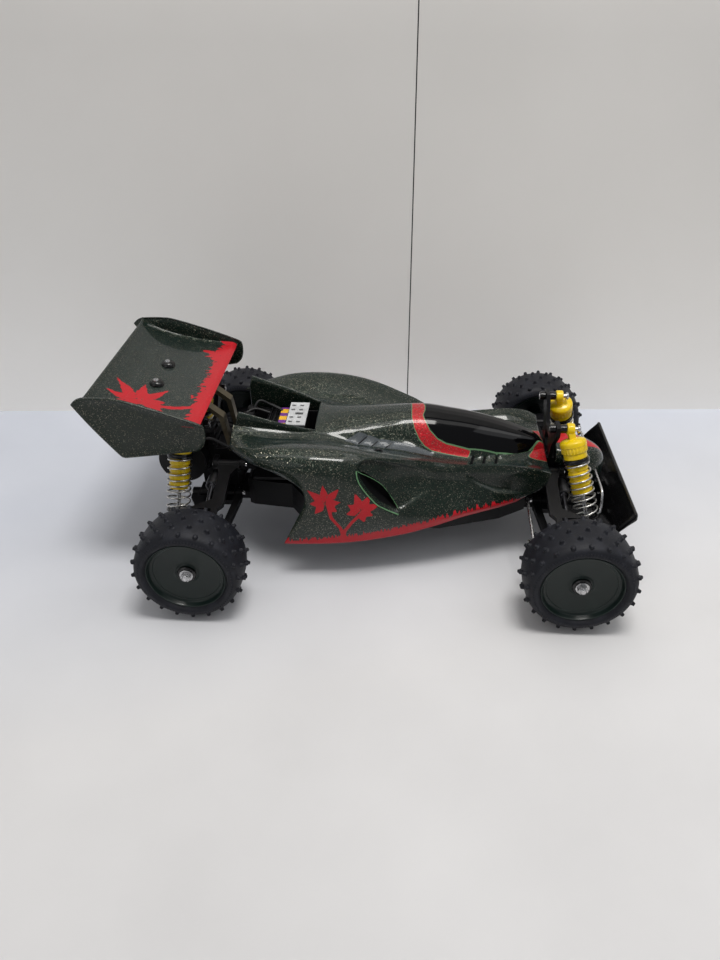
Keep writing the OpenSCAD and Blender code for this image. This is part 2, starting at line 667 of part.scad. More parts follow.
module hub_carrier_front() {
    color([0.06, 0.06, 0.07]) translate([axle_x, 0, 0]) difference() {
        union() {
            carrier_ends();
            translate([-6, 64.5, 22.5]) cube([12, 4, 28.5]);
            translate([-6, 64.5, 22.5]) cube([12, 9, 3]);
            translate([-6, 66, 26.8]) cube([12, 14, 3.4]);
            translate([0, kingpin_y, 26.8]) cylinder(r = 6, h = 3.4);
            translate([-6, 66, 46.9]) cube([12, 14, 3.4]);
            translate([0, kingpin_y, 46.9]) cylinder(r = 6, h = 3.4);
        }
        translate([-4.4, 60, 33]) cube([8.8, 10, 13.6]);
        translate([0, kingpin_y, 20]) cylinder(r = 2.05, h = 40);
    }
}

module knuckle() {
    color([0.06, 0.06, 0.07]) difference() {
        union() {
            translate([axle_x, kingpin_y, 30.5]) cylinder(r = 6, h = 16.1);
            translate([axle_x, kingpin_y, 26.8]) cylinder(r = 2, h = 23.5);
            translate([axle_x, 0, axle_z]) along_y(6.8, 76, 92);
            translate([outer_ball[0], 75, 31.6]) cube([axle_x - outer_ball[0] - 4, 5, 3.4]);
            translate([outer_ball[0], outer_ball[1], 31.6]) cylinder(r = 3.2, h = 3.4);
            translate([outer_ball[0], outer_ball[1], 34]) cylinder(r = 1.1, h = 8.5);
        }
        translate([axle_x, 0, axle_z]) {
            along_y(5.1, 74, 92.1);
            translate([0, 78, 0]) rotate([90, 0, 0]) cylinder(r1 = 5.1, r2 = 6.2, h = 4);
        }
    }
}

module hub_carrier_rear() {
    color([0.06, 0.06, 0.07]) translate([-axle_x, 0, 0]) difference() {
        union() {
            carrier_ends();
            translate([-6, 69, 22.5]) cube([12, 6, 28.5]);
            translate([0, 0, axle_z]) along_y(9, 76, 92);
            translate([-7, 69, 31]) cube([14, 8, 15]);
        }
        translate([0, 0, axle_z]) {
            along_y(5.1, 77, 93);
            translate([0, 77.1, 0]) rotate([90, 0, 0]) cylinder(r1 = 5.1, r2 = 6.6, h = 12);
        }
    }
}

module drive_shaft(end) {
    a = [axle_x * end, cup_y, diff_z];
    b = [axle_x * end, kingpin_y, axle_z];
    color("silver") {
        aim(a, b) cylinder(r = 1.8, h = norm(b - a));
        translate(a) sphere(r = 3);
        translate(b) sphere(r = 2.8);
    }
}

// Stub axle with its inner cup, the rim with its dish and hub, a washer and a nut
rim_profile = [[24.6, -15.5], [26.5, -15.5], [26.5, 15.5], [25.6, 15.5], [24.6, 14], [23.2, 11.2],
    [21.6, 10.6], [8.5, 10.2], [6, 10.2], [6, 12], [2.6, 12], [2.6, -6], [6, -6], [6, 8.4], [21.6, 8.8],
    [24.6, 8]];

module wheel(x) {
    translate([x, 0, axle_z]) {
        color([0.08, 0.15, 0.13]) translate([0, wheel_mid, 0]) rotate([-90, 0, 0])
            rotate_extrude($fn = 96) polygon(rim_profile);
        color("silver") {
            difference() {
                union() {
                    along_y(2.5, 84, wheel_out);
                    along_y(5, 77, 86);
                }
                along_y(3.6, 70, 83.6);
            }
            difference() {
                along_y(4.6, wheel_mid + 12.05, wheel_mid + 12.75);
                along_y(2.55, 80, 130);
            }
            translate([0, wheel_mid + 15.5, 0]) rotate([90, 0, 0]) difference() {
                cylinder(r = 3.9, h = 2.7, $fn = 6);
                translate([0, 0, -1]) cylinder(r = 2.55, h = 5);
            }
        }
    }
}

// Half section of the tyre as shares of its crown radius and of its width
crown = tyre_radius - spike_height;
tyre_profile = [[26.6, 0.43], [crown * 0.80, 0.5], [crown * 0.88, 0.46], [crown * 0.965, 0.36],
    [crown, 0.2], [crown, -0.2], [crown * 0.965, -0.36], [crown * 0.88, -0.46], [crown * 0.80, -0.5],
    [26.6, -0.43]];
// Rings of spikes: place across the tyre, lean from the radial direction, root radius
spike_rings = [[0, 0, crown - 1], [7.6, 4, crown - 1.2], [-7.6, -4, crown - 1.2],
    [13.4, 26, crown - 3.4], [-13.4, -26, crown - 3.4]];

module tyre(x) {
    color([0.09, 0.09, 0.11]) translate([x, wheel_mid, axle_z]) {
        rotate([-90, 0, 0]) rotate_extrude($fn = 96)
            polygon([for (p = tyre_profile) [p[0], p[1] * tyre_width]]);
        for (r = [0:len(spike_rings) - 1]) for (k = [0:spikes_per_ring - 1])
            rotate([0, (k + (r == 0 ? 0 : 0.5) + (r > 2 ? 0.5 : 0)) * 360 / spikes_per_ring, 0])
                translate([0, spike_rings[r][0], spike_rings[r][2]])
                    rotate([-spike_rings[r][1], 0, 0])
                        cylinder(r = 2, h = spike_height + (r == 0 ? 1 : r < 3 ? 1.2 : 2), $fn = 16);
    }
}

// ---------- shock absorbers, measured down the axis from the upper eye ----------

cap_from = 6.8;
cap_to = 16.5;
collar_from = 20.8;
collar_to = 24;
cylinder_to = 46;
seat_up = 10;
eye_bore = 2.15;

module shock(top, eye) {
    color("gold") difference() {
        union() {
            translate(top) along_x(4, -2.5, 2.5);
            aim(top, eye) {
                translate([0, 0, 1.5]) cylinder(r = 2.5, h = 8);
                translate([0, 0, cap_from]) cylinder(r1 = cap_radius - 1.6, r2 = cap_radius, h = 2);
                translate([0, 0, cap_from + 1.9]) cylinder(r = cap_radius, h = cap_to - cap_from - 1.9);
                translate([0, 0, cap_to - 0.1]) cylinder(r = 8, h = collar_from - cap_to + 0.1);
                translate([0, 0, collar_from - 0.1]) cylinder(r = cylinder_radius - 0.9,
                    h = cylinder_to - collar_from + 0.1);
                for (k = [0:3]) translate([0, 0, collar_to + 1 + 5.6 * k])
                    cylinder(r = cylinder_radius, h = 3.6);
            }
        }
        translate(top) along_x(post_bore, -5, 5);
        aim(top, eye) {
            translate([0, 0, 14]) cylinder(r = 4.8, h = 29.6);
            translate([0, 0, 14]) cylinder(r = pin_r + running, h = 40);
        }
    }
    color("black") aim(top, eye) translate([0, 0, collar_from + 0.05]) difference() {
        cylinder(r = 9, h = collar_to - collar_from);
        translate([0, 0, -1]) cylinder(r = cylinder_radius - 0.85, h = 8);
    }
}

module shock_rod(top, eye) {
    reach = norm(eye - top);
    color("silver") difference() {
        union() {
            translate(eye) along_x(4, -2.5, 2.5);
            aim(top, eye) {
                translate([0, 0, 33]) cylinder(r = pin_r, h = reach - 36);
                translate([0, 0, 33]) cylinder(r = 4.6, h = 2);
                translate([0, 0, reach - seat_up]) cylinder(r = 7.8, h = 1.4);
                translate([0, 0, reach - seat_up]) cylinder(r = 3, h = seat_up - 3);
            }
        }
        translate(eye) along_x(eye_bore, -5, 5);
    }
}

module spring(top, eye) {
    reach = norm(eye - top);
    wire = wire_diameter / 2;
    z0 = collar_to + 0.2 + wire;
    z1 = reach - seat_up - 0.15 - wire;
    radius = 8.8 - wire;
    steps = spring_turns * 16;
    sides = 6;
    color("silver") aim(top, eye) polyhedron(
        points = [for (k = [0:steps]) for (s = [0:sides - 1])
            let(a = 360 * spring_turns * k / steps, b = 360 * s / sides, r = radius + wire * cos(b))
            [r * cos(a), r * sin(a), z0 + (z1 - z0) * k / steps + wire * sin(b)]],
        faces = concat(
            [[for (s = [0:sides - 1]) s]],
            [for (k = [0:steps - 1]) for (s = [0:sides - 1])
                [k * sides + s, (k + 1) * sides + s, (k + 1) * sides + (s + 1) % sides]],
            [for (k = [0:steps - 1]) for (s = [0:sides - 1])
                [k * sides + s, (k + 1) * sides + (s + 1) % sides, k * sides + (s + 1) % sides]],
            [[for (s = [sides - 1:-1:0]) steps * sides + s]]
        ), convexity = 10);
}

// ---------- steering ----------

module steering_arm() {
    color([0.1, 0.1, 0.11]) difference() {
        union() {
            translate([steer_pivot[0], 0, 44]) cylinder(r = 5, h = 4);
            translate([0, 0, 44]) linear_extrude(height = 3) polygon([[77, -4.5], [77, 4.5],
                [100, 18.5], [105, 18.5], [105, 13.5], [88, 4], [88, -4], [105, -13.5],
                [105, -18.5], [100, -18.5]]);
            both_sides() translate([inner_ball[0], inner_ball[1], 44]) cylinder(r = 1.3, h = 9.5);
        }
        translate([steer_pivot[0], 0, 40]) cylinder(r = 1.75, h = 10);
    }
}

// The rod end turns on the steering arm's post, and carries the tie rod's cross pin
module rod_end() {
    color("black") difference() {
        union() {
            translate([inner_ball[0], inner_ball[1], 48.2]) cylinder(r = 3.2, h = 4.6);
            translate([inner_ball[0] - 1.2, inner_ball[1] + 1.5, 49]) cube([2.4, 5, 3]);
        }
        translate([inner_ball[0], inner_ball[1], 40]) cylinder(r = 1.35, h = 20);
        translate([inner_ball[0], inner_ball[1] + 5, inner_ball[2]]) along_x(0.55, -5, 5);
    }
}

module tie_rod() {
    start = inner_ball + [0, 5, 0];
    color("silver") difference() {
        union() {
            aim(start + [0, 3.6, -0.8], outer_ball + [0, -4, 0.8])
                cylinder(r = 1.1, h = norm(outer_ball - start) - 8);
            translate(start) {
                along_x(0.5, -3.2, 3.2);
                for (x = [-3.2, 1.4]) translate([x, -1.2, -1.5]) cube([1.8, 5.6, 3]);
                translate([-3.2, 2.8, -2]) cube([6.4, 2, 3]);
            }
            translate([outer_ball[0], outer_ball[1], outer_ball[2] - 1.8]) cylinder(r = 5.3, h = 3.6);
        }
        translate([outer_ball[0], outer_ball[1], outer_ball[2] - 5]) cylinder(r = 4.1, h = 10);
    }
}

chassis_tub();
battery_pack();
gearbox_front();
gearbox_rear();
tower_front();
tower_rear();
front_bumper();
body_shell();
rear_wing();
wing_stays();
motor();
radio_gear();
pins_and_screws();
prop_shaft();
differential_front();
differential_rear();
motor_pinion();
steering_arm();
on_side(1) rod_end();  // rod_end_left
on_side(-1) rod_end();  // rod_end_right
on_side(1) tie_rod();  // tie_rod_left
on_side(-1) tie_rod();  // tie_rod_right
on_side(1) lower_arm(1, front_eye);  // lower_arm_front_left
on_side(-1) lower_arm(1, front_eye);  // lower_arm_front_right
on_side(1) lower_arm(-1, rear_eye);  // lower_arm_rear_left
on_side(-1) lower_arm(-1, rear_eye);  // lower_arm_rear_right
on_side(1) upper_arm(1);  // upper_arm_front_left
on_side(-1) upper_arm(1);  // upper_arm_front_right
on_side(1) upper_arm(-1);  // upper_arm_rear_left
on_side(-1) upper_arm(-1);  // upper_arm_rear_right
on_side(1) hub_carrier_front();  // hub_carrier_front_left
on_side(-1) hub_carrier_front();  // hub_carrier_front_right
on_side(1) hub_carrier_rear();  // hub_carrier_rear_left
on_side(-1) hub_carrier_rear();  // hub_carrier_rear_right
on_side(1) knuckle();  // knuckle_left
on_side(-1) knuckle();  // knuckle_right
on_side(1) wheel(axle_x);  // wheel_front_left
on_side(-1) wheel(axle_x);  // wheel_front_right
on_side(1) wheel(-axle_x);  // wheel_rear_left
on_side(-1) wheel(-axle_x);  // wheel_rear_right
on_side(1) tyre(axle_x);  // tyre_front_left
on_side(-1) tyre(axle_x);  // tyre_front_right
on_side(1) tyre(-axle_x);  // tyre_rear_left
on_side(-1) tyre(-axle_x);  // tyre_rear_right
on_side(1) shock(front_top, front_eye);  // shock_front_left
on_side(-1) shock(front_top, front_eye);  // shock_front_right
on_side(1) shock(rear_top, rear_eye);  // shock_rear_left
on_side(-1) shock(rear_top, rear_eye);  // shock_rear_right
on_side(1) shock_rod(front_top, front_eye);  // shock_rod_front_left
on_side(-1) shock_rod(front_top, front_eye);  // shock_rod_front_right
on_side(1) shock_rod(rear_top, rear_eye);  // shock_rod_rear_left
on_side(-1) shock_rod(rear_top, rear_eye);  // shock_rod_rear_right
on_side(1) spring(front_top, front_eye);  // spring_front_left
on_side(-1) spring(front_top, front_eye);  // spring_front_right
on_side(1) spring(rear_top, rear_eye);  // spring_rear_left
on_side(-1) spring(rear_top, rear_eye);  // spring_rear_right
on_side(1) drive_shaft(1);  // drive_shaft_front_left
on_side(-1) drive_shaft(1);  // drive_shaft_front_right
on_side(1) drive_shaft(-1);  // drive_shaft_rear_left
on_side(-1) drive_shaft(-1);  // drive_shaft_rear_right
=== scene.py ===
"""Looks of a radio-controlled off-road buggy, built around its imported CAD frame.

Lengths in this file are millimetres and are scaled to metres when a mesh is made.
+X is the car's front, +Y its left, +Z up.
"""
import math
import random

import bmesh
import bpy
import numpy as np
from mathutils import Matrix, Vector


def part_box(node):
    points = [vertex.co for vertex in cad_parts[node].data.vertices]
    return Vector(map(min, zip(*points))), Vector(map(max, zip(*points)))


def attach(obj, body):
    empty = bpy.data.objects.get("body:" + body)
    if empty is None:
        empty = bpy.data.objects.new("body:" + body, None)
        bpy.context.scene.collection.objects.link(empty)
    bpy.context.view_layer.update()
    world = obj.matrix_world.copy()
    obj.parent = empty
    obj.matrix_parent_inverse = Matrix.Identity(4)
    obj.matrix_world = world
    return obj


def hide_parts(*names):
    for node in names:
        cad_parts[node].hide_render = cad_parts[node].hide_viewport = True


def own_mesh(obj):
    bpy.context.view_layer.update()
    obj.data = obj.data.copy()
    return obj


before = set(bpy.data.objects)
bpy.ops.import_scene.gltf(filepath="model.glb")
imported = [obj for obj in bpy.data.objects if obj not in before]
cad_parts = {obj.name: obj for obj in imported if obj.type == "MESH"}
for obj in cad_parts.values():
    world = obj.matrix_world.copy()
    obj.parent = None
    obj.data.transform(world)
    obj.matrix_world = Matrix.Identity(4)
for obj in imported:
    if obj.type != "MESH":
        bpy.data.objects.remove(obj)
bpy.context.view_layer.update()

MM = 0.001
# The value of a paint mark well away from its edge
OUTSIDE = -9.0
CORNERS = {"front_left": (1, 1), "front_right": (1, -1), "rear_left": (-1, 1), "rear_right": (-1, -1)}


def box_mm(node):
    """Lowest and highest corner of a CAD node, in millimetres."""
    low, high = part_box(node)
    return np.array(low) / MM, np.array(high) / MM


# ---------------------------------------------------------------- camera, floor and light

def aim(obj, forward, up):
    """Turns a camera or light to look along forward."""
    back = -Vector(forward).normalized()
    right = Vector(up).cross(back).normalized()
    true_up = back.cross(right)
    turn = Matrix((right, true_up, back)).transposed().to_4x4()
    obj.matrix_world = Matrix.Translation(obj.location) @ turn


def add_camera():
    data = bpy.data.cameras.new("camera")
    data.lens = 27.76
    data.sensor_width = 36
    data.sensor_fit = "AUTO"
    data.clip_start = 0.01
    camera = bpy.data.objects.new("camera", data)
    bpy.context.scene.collection.objects.link(camera)
    camera.location = (0.01031, -0.47116, 0.36372)
    aim(camera, (-0.05405, 0.82029, -0.56939), (-0.02493, 0.56894, 0.82200))
    bpy.context.scene.camera = camera


def area_light(name, place, target, size, watts, colour):
    data = bpy.data.lights.new(name, "AREA")
    data.shape = "RECTANGLE"
    data.size, data.size_y = size
    data.energy = watts
    data.color = colour
    light = bpy.data.objects.new(name, data)
    bpy.context.scene.collection.objects.link(light)
    light.location = place
    aim(light, Vector(target) - Vector(place), (0, 1, 0.01))


# ---------------------------------------------------------------- node materials

class Nodes:
    """A short way to wire a material's nodes."""

    def __init__(self, name):
        self.material = bpy.data.materials.new(name)
        self.material.use_nodes = True
        self.tree = self.material.node_tree
        self.tree.nodes.clear()
        self.output = self.add("ShaderNodeOutputMaterial")
        self.shader = self.add("ShaderNodeBsdfPrincipled")
        self.link(self.shader.outputs[0], self.output.inputs[0])
        self.place = self.add("ShaderNodeTexCoord").outputs["Object"]

    def add(self, kind, **settings):
        node = self.tree.nodes.new(kind)
        for key, value in settings.items():
            setattr(node, key, value)
        return node

    def link(self, source, target):
        self.tree.links.new(source, target)

    def feed(self, target, value):
        """Sets an input to a number or colour, or links it to a socket."""
        if hasattr(value, "is_output"):
            self.link(value, target)
        elif isinstance(value, (tuple, list)) and len(value) == 3 and target.type == "RGBA":
            target.default_value = (*value, 1)
        else:
            target.default_value = value

    def set(self, **inputs):
        for key, value in inputs.items():
            self.feed(self.shader.inputs[key.replace("_", " ")], value)

    def noise(self, scale, detail=3, rough=0.5, stretch=None):
        node = self.add("ShaderNodeTexNoise")
        node.inputs["Scale"].default_value = scale
        node.inputs["Detail"].default_value = detail
        node.inputs["Roughness"].default_value = rough
        place = self.place
        if stretch:
            mapping = self.add("ShaderNodeMapping")
            mapping.inputs["Scale"].default_value = stretch
            self.link(self.place, mapping.inputs["Vector"])
            place = mapping.outputs[0]
        self.link(place, node.inputs["Vector"])
        return node.outputs["Fac"]

    def cells(self, scale, output="Color"):
        node = self.add("ShaderNodeTexVoronoi")
        node.inputs["Scale"].default_value = scale
        self.link(self.place, node.inputs["Vector"])
        return node.outputs[output]

    def attribute(self, name):
        node = self.add("ShaderNodeAttribute")
        node.attribute_name = name
        return node.outputs["Fac"]

    def math(self, operation, a, b=0.0, c=0.0):
        node = self.add("ShaderNodeMath", operation=operation)
        for socket, value in zip(node.inputs, (a, b, c)):
            self.feed(socket, value)
        return node.outputs[0]

    def span(self, value, low, high, to_low=0.0, to_high=1.0):
        """Maps low..high to to_low..to_high, clamped."""
        node = self.add("ShaderNodeMapRange")
        for socket, given in zip(node.inputs, (value, low, high, to_low, to_high)):
            self.feed(socket, given)
        return node.outputs[0]

    def mix(self, factor, a, b):
        node = self.add("ShaderNodeMix", data_type="RGBA")
        self.feed(node.inputs["Factor"], factor)
        self.feed(node.inputs["A"], a)
        self.feed(node.inputs["B"], b)
        return node.outputs["Result"]

    def blend(self, factor, a, b):
        """Mixes two numbers."""
        node = self.add("ShaderNodeMix", data_type="FLOAT")
        self.feed(node.inputs[0], factor)
        self.feed(node.inputs[2], a)
        self.feed(node.inputs[3], b)
        return node.outputs[0]

    def bump(self, height, strength, distance, normal=None):
        node = self.add("ShaderNodeBump")
        node.inputs["Strength"].default_value = strength
        node.inputs["Distance"].default_value = distance
        self.link(height, node.inputs["Height"])
        if normal:
            self.link(normal, node.inputs["Normal"])
        return node.outputs[0]

    def facing(self, blend_at=0.5):
        node = self.add("ShaderNodeLayerWeight")
        node.inputs["Blend"].default_value = blend_at
        return node.outputs["Facing"]

    def clear_from_behind(self):
        """Shows nothing on the back of a face, so that a backdrop never hides the car."""
        geometry = self.add("ShaderNodeNewGeometry")
        clear = self.add("ShaderNodeBsdfTransparent")
        both = self.add("ShaderNodeMixShader")
        self.link(geometry.outputs["Backfacing"], both.inputs[0])
        self.link(self.shader.outputs[0], both.inputs[1])
        self.link(clear.outputs[0], both.inputs[2])
        self.link(both.outputs[0], self.output.inputs[0])

    def edge_wear(self, radius):
        """0 on flat ground, rising at convex edges, from the angle between the bevelled and true normals."""
        bevel = self.add("ShaderNodeBevel", samples=4)
        bevel.inputs["Radius"].default_value = radius
        geometry = self.add("ShaderNodeNewGeometry")
        dot = self.add("ShaderNodeVectorMath", operation="DOT_PRODUCT")
        self.link(bevel.outputs[0], dot.inputs[0])
        self.link(geometry.outputs["Normal"], dot.inputs[1])
        return self.span(dot.outputs["Value"], 0.98, 0.85)


BASE_GREEN = (0.0040, 0.0125, 0.0082)
FLAKE = (0.036, 0.040, 0.031)
FLAKE_BRIGHT = (0.26, 0.245, 0.19)
SHEEN_BLUE = (0.014, 0.036, 0.046)
PAINT_RED = (0.46, 0.010, 0.018)
PINSTRIPE_AND_HIGHLIGHT_GREEN = (0.10, 0.20, 0.10)
# Light green for the pinstripes, and for the painted highlight along the pods' lower rear edge
LOUVRE_GREY = (0.075, 0.085, 0.095)
BLACK = (0.0015, 0.0015, 0.002)


def flake_paint(name, marks, lines=(), jag_stretch=(1, 0.09, 0.09), jag_scale=820):
    """Metal flakes in green paint under clear plastic.

    marks are (attribute, colour, flakes 0-1, roughness, coat, jagged edge in mm); lines are attributes
    whose zero line carries a thin pinstripe.
    """
    n = Nodes(name)
    cells = n.cells(2300)
    split = n.add("ShaderNodeSeparateColor")
    n.link(cells, split.inputs[0])
    some = n.span(split.outputs[0], 0.50, 0.62)
    few = n.span(split.outputs[0], 0.92, 0.96)
    patch = n.span(n.noise(55, 3), 0.35, 0.65, 0.55, 1.0)
    # Painted sheen: the green base colour is painted blue towards grazing angles.
    base = n.mix(n.span(n.facing(0.3), 0.2, 0.9, 0, 0.6), BASE_GREEN, SHEEN_BLUE)
    glitter = n.mix(few, FLAKE, FLAKE_BRIGHT)
    flakes = n.math("MULTIPLY", some, patch)
    roughness, coat = 0.30, 0.85
    if marks:
        jag = n.span(n.noise(jag_scale, 1, 0.4, stretch=jag_stretch), 0.3, 0.7, -1, 1)
    for attribute, colour, with_flakes, mark_rough, mark_coat, jagged in marks:
        edge = n.attribute(attribute)
        if jagged:
            edge = n.math("ADD", edge, n.math("MULTIPLY", jag, jagged))
        inside = n.span(edge, 0.0, 0.25)
        base = n.mix(inside, base, colour)
        flakes = n.math("MULTIPLY", flakes, n.blend(inside, 1.0, with_flakes))
        roughness = n.blend(inside, roughness, mark_rough)
        coat = n.blend(inside, coat, mark_coat)
    for attribute in lines:
        beside = n.span(n.math("ABSOLUTE", n.attribute(attribute)), 0.18, 0.34, 1, 0)
        base = n.mix(beside, base, PINSTRIPE_AND_HIGHLIGHT_GREEN)
        flakes = n.math("MULTIPLY", flakes, n.blend(beside, 1.0, 0.0))
    # Each flake lies at its own small angle
    geometry = n.add("ShaderNodeNewGeometry")
    lean = n.add("ShaderNodeVectorMath", operation="MULTIPLY_ADD")
    n.link(cells, lean.inputs[0])
    lean.inputs[1].default_value = (1.1, 1.1, 1.1)
    lean.inputs[2].default_value = (-0.55, -0.55, -0.55)
    tilt = n.add("ShaderNodeVectorMath", operation="SCALE")
    n.link(lean.outputs[0], tilt.inputs[0])
    n.link(flakes, tilt.inputs["Scale"])
    normal = n.add("ShaderNodeVectorMath", operation="ADD")
    n.link(geometry.outputs["Normal"], normal.inputs[0])
    n.link(tilt.outputs[0], normal.inputs[1])
    unit = n.add("ShaderNodeVectorMath", operation="NORMALIZE")
    n.link(normal.outputs[0], unit.inputs[0])
    waves = n.bump(n.noise(14, 2), 0.12, 0.004)
    n.set(Base_Color=n.mix(flakes, base, glitter), Metallic=flakes, Roughness=roughness,
          Normal=unit.outputs[0], Coat_Weight=coat, Coat_Roughness=0.05, Coat_Normal=waves, Coat_IOR=1.38)
    n.shader.inputs["Specular IOR Level"].default_value = 0.12
    return n.material


def plastic(name, colour, rough, speckle=0.06, coat=0.0, wear=(0.10, 0.10, 0.105), shine=0.28):
    """Moulded plastic: fine grain, faint mottling, paler rubbed edges."""
    n = Nodes(name)
    mottle = n.span(n.noise(90, 4), 0.3, 0.7)
    darker = tuple(c * 0.72 for c in colour)
    base = n.mix(mottle, darker, colour)
    base = n.mix(n.math("MULTIPLY", n.edge_wear(0.0006), 0.35), base, wear)
    n.set(Base_Color=base, Roughness=n.span(n.noise(260, 3), 0.3, 0.7, rough - speckle, rough + speckle),
          Normal=n.bump(n.noise(1800, 2), 0.12, 0.0002), Coat_Weight=coat, Coat_Roughness=0.12)
    n.shader.inputs["Specular IOR Level"].default_value = shine
    return n.material


def metal(name, colour, rough, brushed=(1, 1, 1)):
    """Steel or alloy with drawn streaks."""
    n = Nodes(name)
    streak = n.noise(400, 4, 0.6, stretch=brushed)
    base = n.mix(n.span(streak, 0.3, 0.7), tuple(c * 0.78 for c in colour), colour)
    n.set(Base_Color=base, Metallic=1.0, Roughness=n.span(streak, 0.3, 0.7, rough - 0.07, rough + 0.1),
          Normal=n.bump(streak, 0.08, 0.0002))
    return n.material


def tyre_rubber():
    """Blue-black rubber with dust on its high spots and fine mould grain."""
    n = Nodes("tyre_rubber")
    grain = n.noise(1500, 3, 0.65)
    dust = n.span(n.noise(120, 5, 0.65), 0.48, 0.72, 0, 0.55)
    scuff = n.math("MAXIMUM", dust, n.math("MULTIPLY", n.edge_wear(0.0008), 0.7))
    base = n.mix(scuff, (0.0055, 0.0062, 0.0100), (0.021, 0.023, 0.032))
    n.set(Base_Color=base, Roughness=n.span(grain, 0.3, 0.7, 0.48, 0.7), Normal=n.bump(grain, 0.22, 0.0003))
    n.shader.inputs["Specular IOR Level"].default_value = 0.30
    return n.material


def sticker():
    """A yellow and violet label with plain colour blocks."""
    n = Nodes("label_print")
    split = n.add("ShaderNodeSeparateXYZ")
    n.link(n.place, split.inputs[0])
    band = n.math("SINE", n.math("MULTIPLY", split.outputs[1], 620.0))
    wave = n.span(n.math("ADD", band, n.span(n.noise(500, 2), 0, 1, -0.5, 0.5)), 0.1, 0.2)
    n.set(Base_Color=n.mix(wave, (0.75, 0.42, 0.02), (0.13, 0.02, 0.22)), Roughness=0.35)
    return n.material


def floor_cloth():
    """Pale cloth with soft creases, with painted shade that makes it darker and bluer towards the rear of the
    car and the wall.
    """
    n = Nodes("floor_pale")
    split = n.add("ShaderNodeSeparateXYZ")
    n.link(n.place, split.inputs[0])
    soft = n.span(n.noise(7, 4), 0.3, 0.7)
    warm = n.mix(soft, (0.62, 0.615, 0.62), (0.68, 0.675, 0.68))
    shaded_cool = n.mix(soft, (0.56, 0.585, 0.65), (0.61, 0.635, 0.70))
    # Painted shade: the cloth turns darker and bluer towards the wall and the car's rear.
    side = n.math("SUBTRACT", split.outputs[1], n.math("MULTIPLY", split.outputs[0], 0.35))
    crease = n.noise(16, 3, 0.5, stretch=(1, 0.35, 1))
    n.set(Base_Color=n.mix(n.span(side, -0.16, 0.1), warm, shaded_cool), Roughness=0.8,
          Normal=n.bump(crease, 0.35, 0.004))
    return n.material


def wall_paint():
    """Off-white panels, painted paler towards the floor as a glow of light bounced up from the floor."""
    n = Nodes("wall_pale")
    split = n.add("ShaderNodeSeparateXYZ")
    n.link(n.place, split.inputs[0])
    soft = n.span(n.noise(5, 3), 0.3, 0.7)
    high = n.mix(soft, (0.54, 0.528, 0.51), (0.58, 0.567, 0.55))
    low = n.mix(soft, (0.88, 0.86, 0.83), (0.92, 0.90, 0.87))
    # Painted light: the lower wall is painted far paler, standing in for light thrown up from the floor.
    n.set(Base_Color=n.mix(n.span(split.outputs[2], 0, 0.32), low, high), Roughness=0.6)
    n.clear_from_behind()
    return n.material


def seam_paint():
    """The dark gap between two wall panels."""
    n = Nodes("seam_dark")
    n.set(Base_Color=n.mix(n.noise(40), (0.004, 0.004, 0.004), (0.008, 0.008, 0.008)), Roughness=0.6)
    n.clear_from_behind()
    return n.material


MAT = {
    "black": plastic("black_nylon", (0.0045, 0.0045, 0.0055), 0.42, shine=0.22, wear=(0.06, 0.06, 0.065)),
    "gloss_black": plastic("gloss_black", (0.004, 0.004, 0.0045), 0.2, coat=0.35, wear=(0.08, 0.08, 0.085)),
    "yellow": plastic("yellow_plastic", (0.86, 0.60, 0.003), 0.30, coat=0.2, wear=(0.95, 0.75, 0.2),
                      shine=0.4),
    "rim": plastic("rim_green", (0.0045, 0.0125, 0.0105), 0.34, coat=0.12, wear=(0.02, 0.04, 0.035)),
    "steel": metal("bright_steel", (0.62, 0.62, 0.63), 0.26),
    "spring": metal("spring_wire", (0.66, 0.65, 0.62), 0.28),
    "dark_steel": metal("dark_steel", (0.09, 0.09, 0.10), 0.34),
    "stay": metal("brushed_strip", (0.17, 0.145, 0.10), 0.4, brushed=(0.2, 3, 3)),
    "gear": metal("gear_steel", (0.36, 0.36, 0.38), 0.33),
    "brass": metal("brass", (0.72, 0.50, 0.18), 0.3),
    "plate": plastic("heat_plate", (0.56, 0.57, 0.58), 0.38, wear=(0.8, 0.8, 0.8)),
    "wrap": plastic("battery_wrap", (0.006, 0.016, 0.085), 0.3, coat=0.3, wear=(0.05, 0.1, 0.25)),
    "cable": plastic("cable_black", (0.012, 0.012, 0.013), 0.45),
    "rubber": tyre_rubber(),
    "label": sticker(),
}

# ---------------------------------------------------------------- mesh helpers


def make_object(name, mesh, material, smooth_angle=40):
    """Shows a mesh with one material, smooth but for edges sharper than the angle."""
    obj = bpy.data.objects.new(name, mesh)
    bpy.context.scene.collection.objects.link(obj)
    if material:
        mesh.materials.append(material)
    smooth(mesh, smooth_angle)
    return obj


def mesh_from(name, points_mm, faces):
    mesh = bpy.data.meshes.new(name)
    mesh.from_pydata([tuple(p) for p in np.asarray(points_mm, float) * MM], [], faces)
    mesh.validate()
    mesh.update()
    return mesh


def grid_faces(rows, cols, wrap=False, skip=None, flip=False):
    """Quads of a grid of points, row by row; skip(i, j) leaves a quad out."""
    faces = []
    for i in range(rows - 1):
        for j in range(cols if wrap else cols - 1):
            if skip and skip(i, j):
                continue
            k = (j + 1) % cols
            quad = (i * cols + j, (i + 1) * cols + j, (i + 1) * cols + k, i * cols + k)
            faces.append(quad[::-1] if flip else quad)
    return faces


def revolve(profile, steps=96):
    """Points and faces of a closed (radius, along-y) profile turned about the y axis."""
    profile = np.asarray(profile, float)
    angles = np.arange(steps) * 2 * math.pi / steps
    points = [(r * math.cos(a), y, r * math.sin(a)) for a in angles for r, y in profile]
    count = len(profile)
    faces = []
    for i in range(steps):
        for j in range(count):
            k = (j + 1) % count
            m = (i + 1) % steps
            faces.append((i * count + j, i * count + k, m * count + k, m * count + j))
    return points, faces


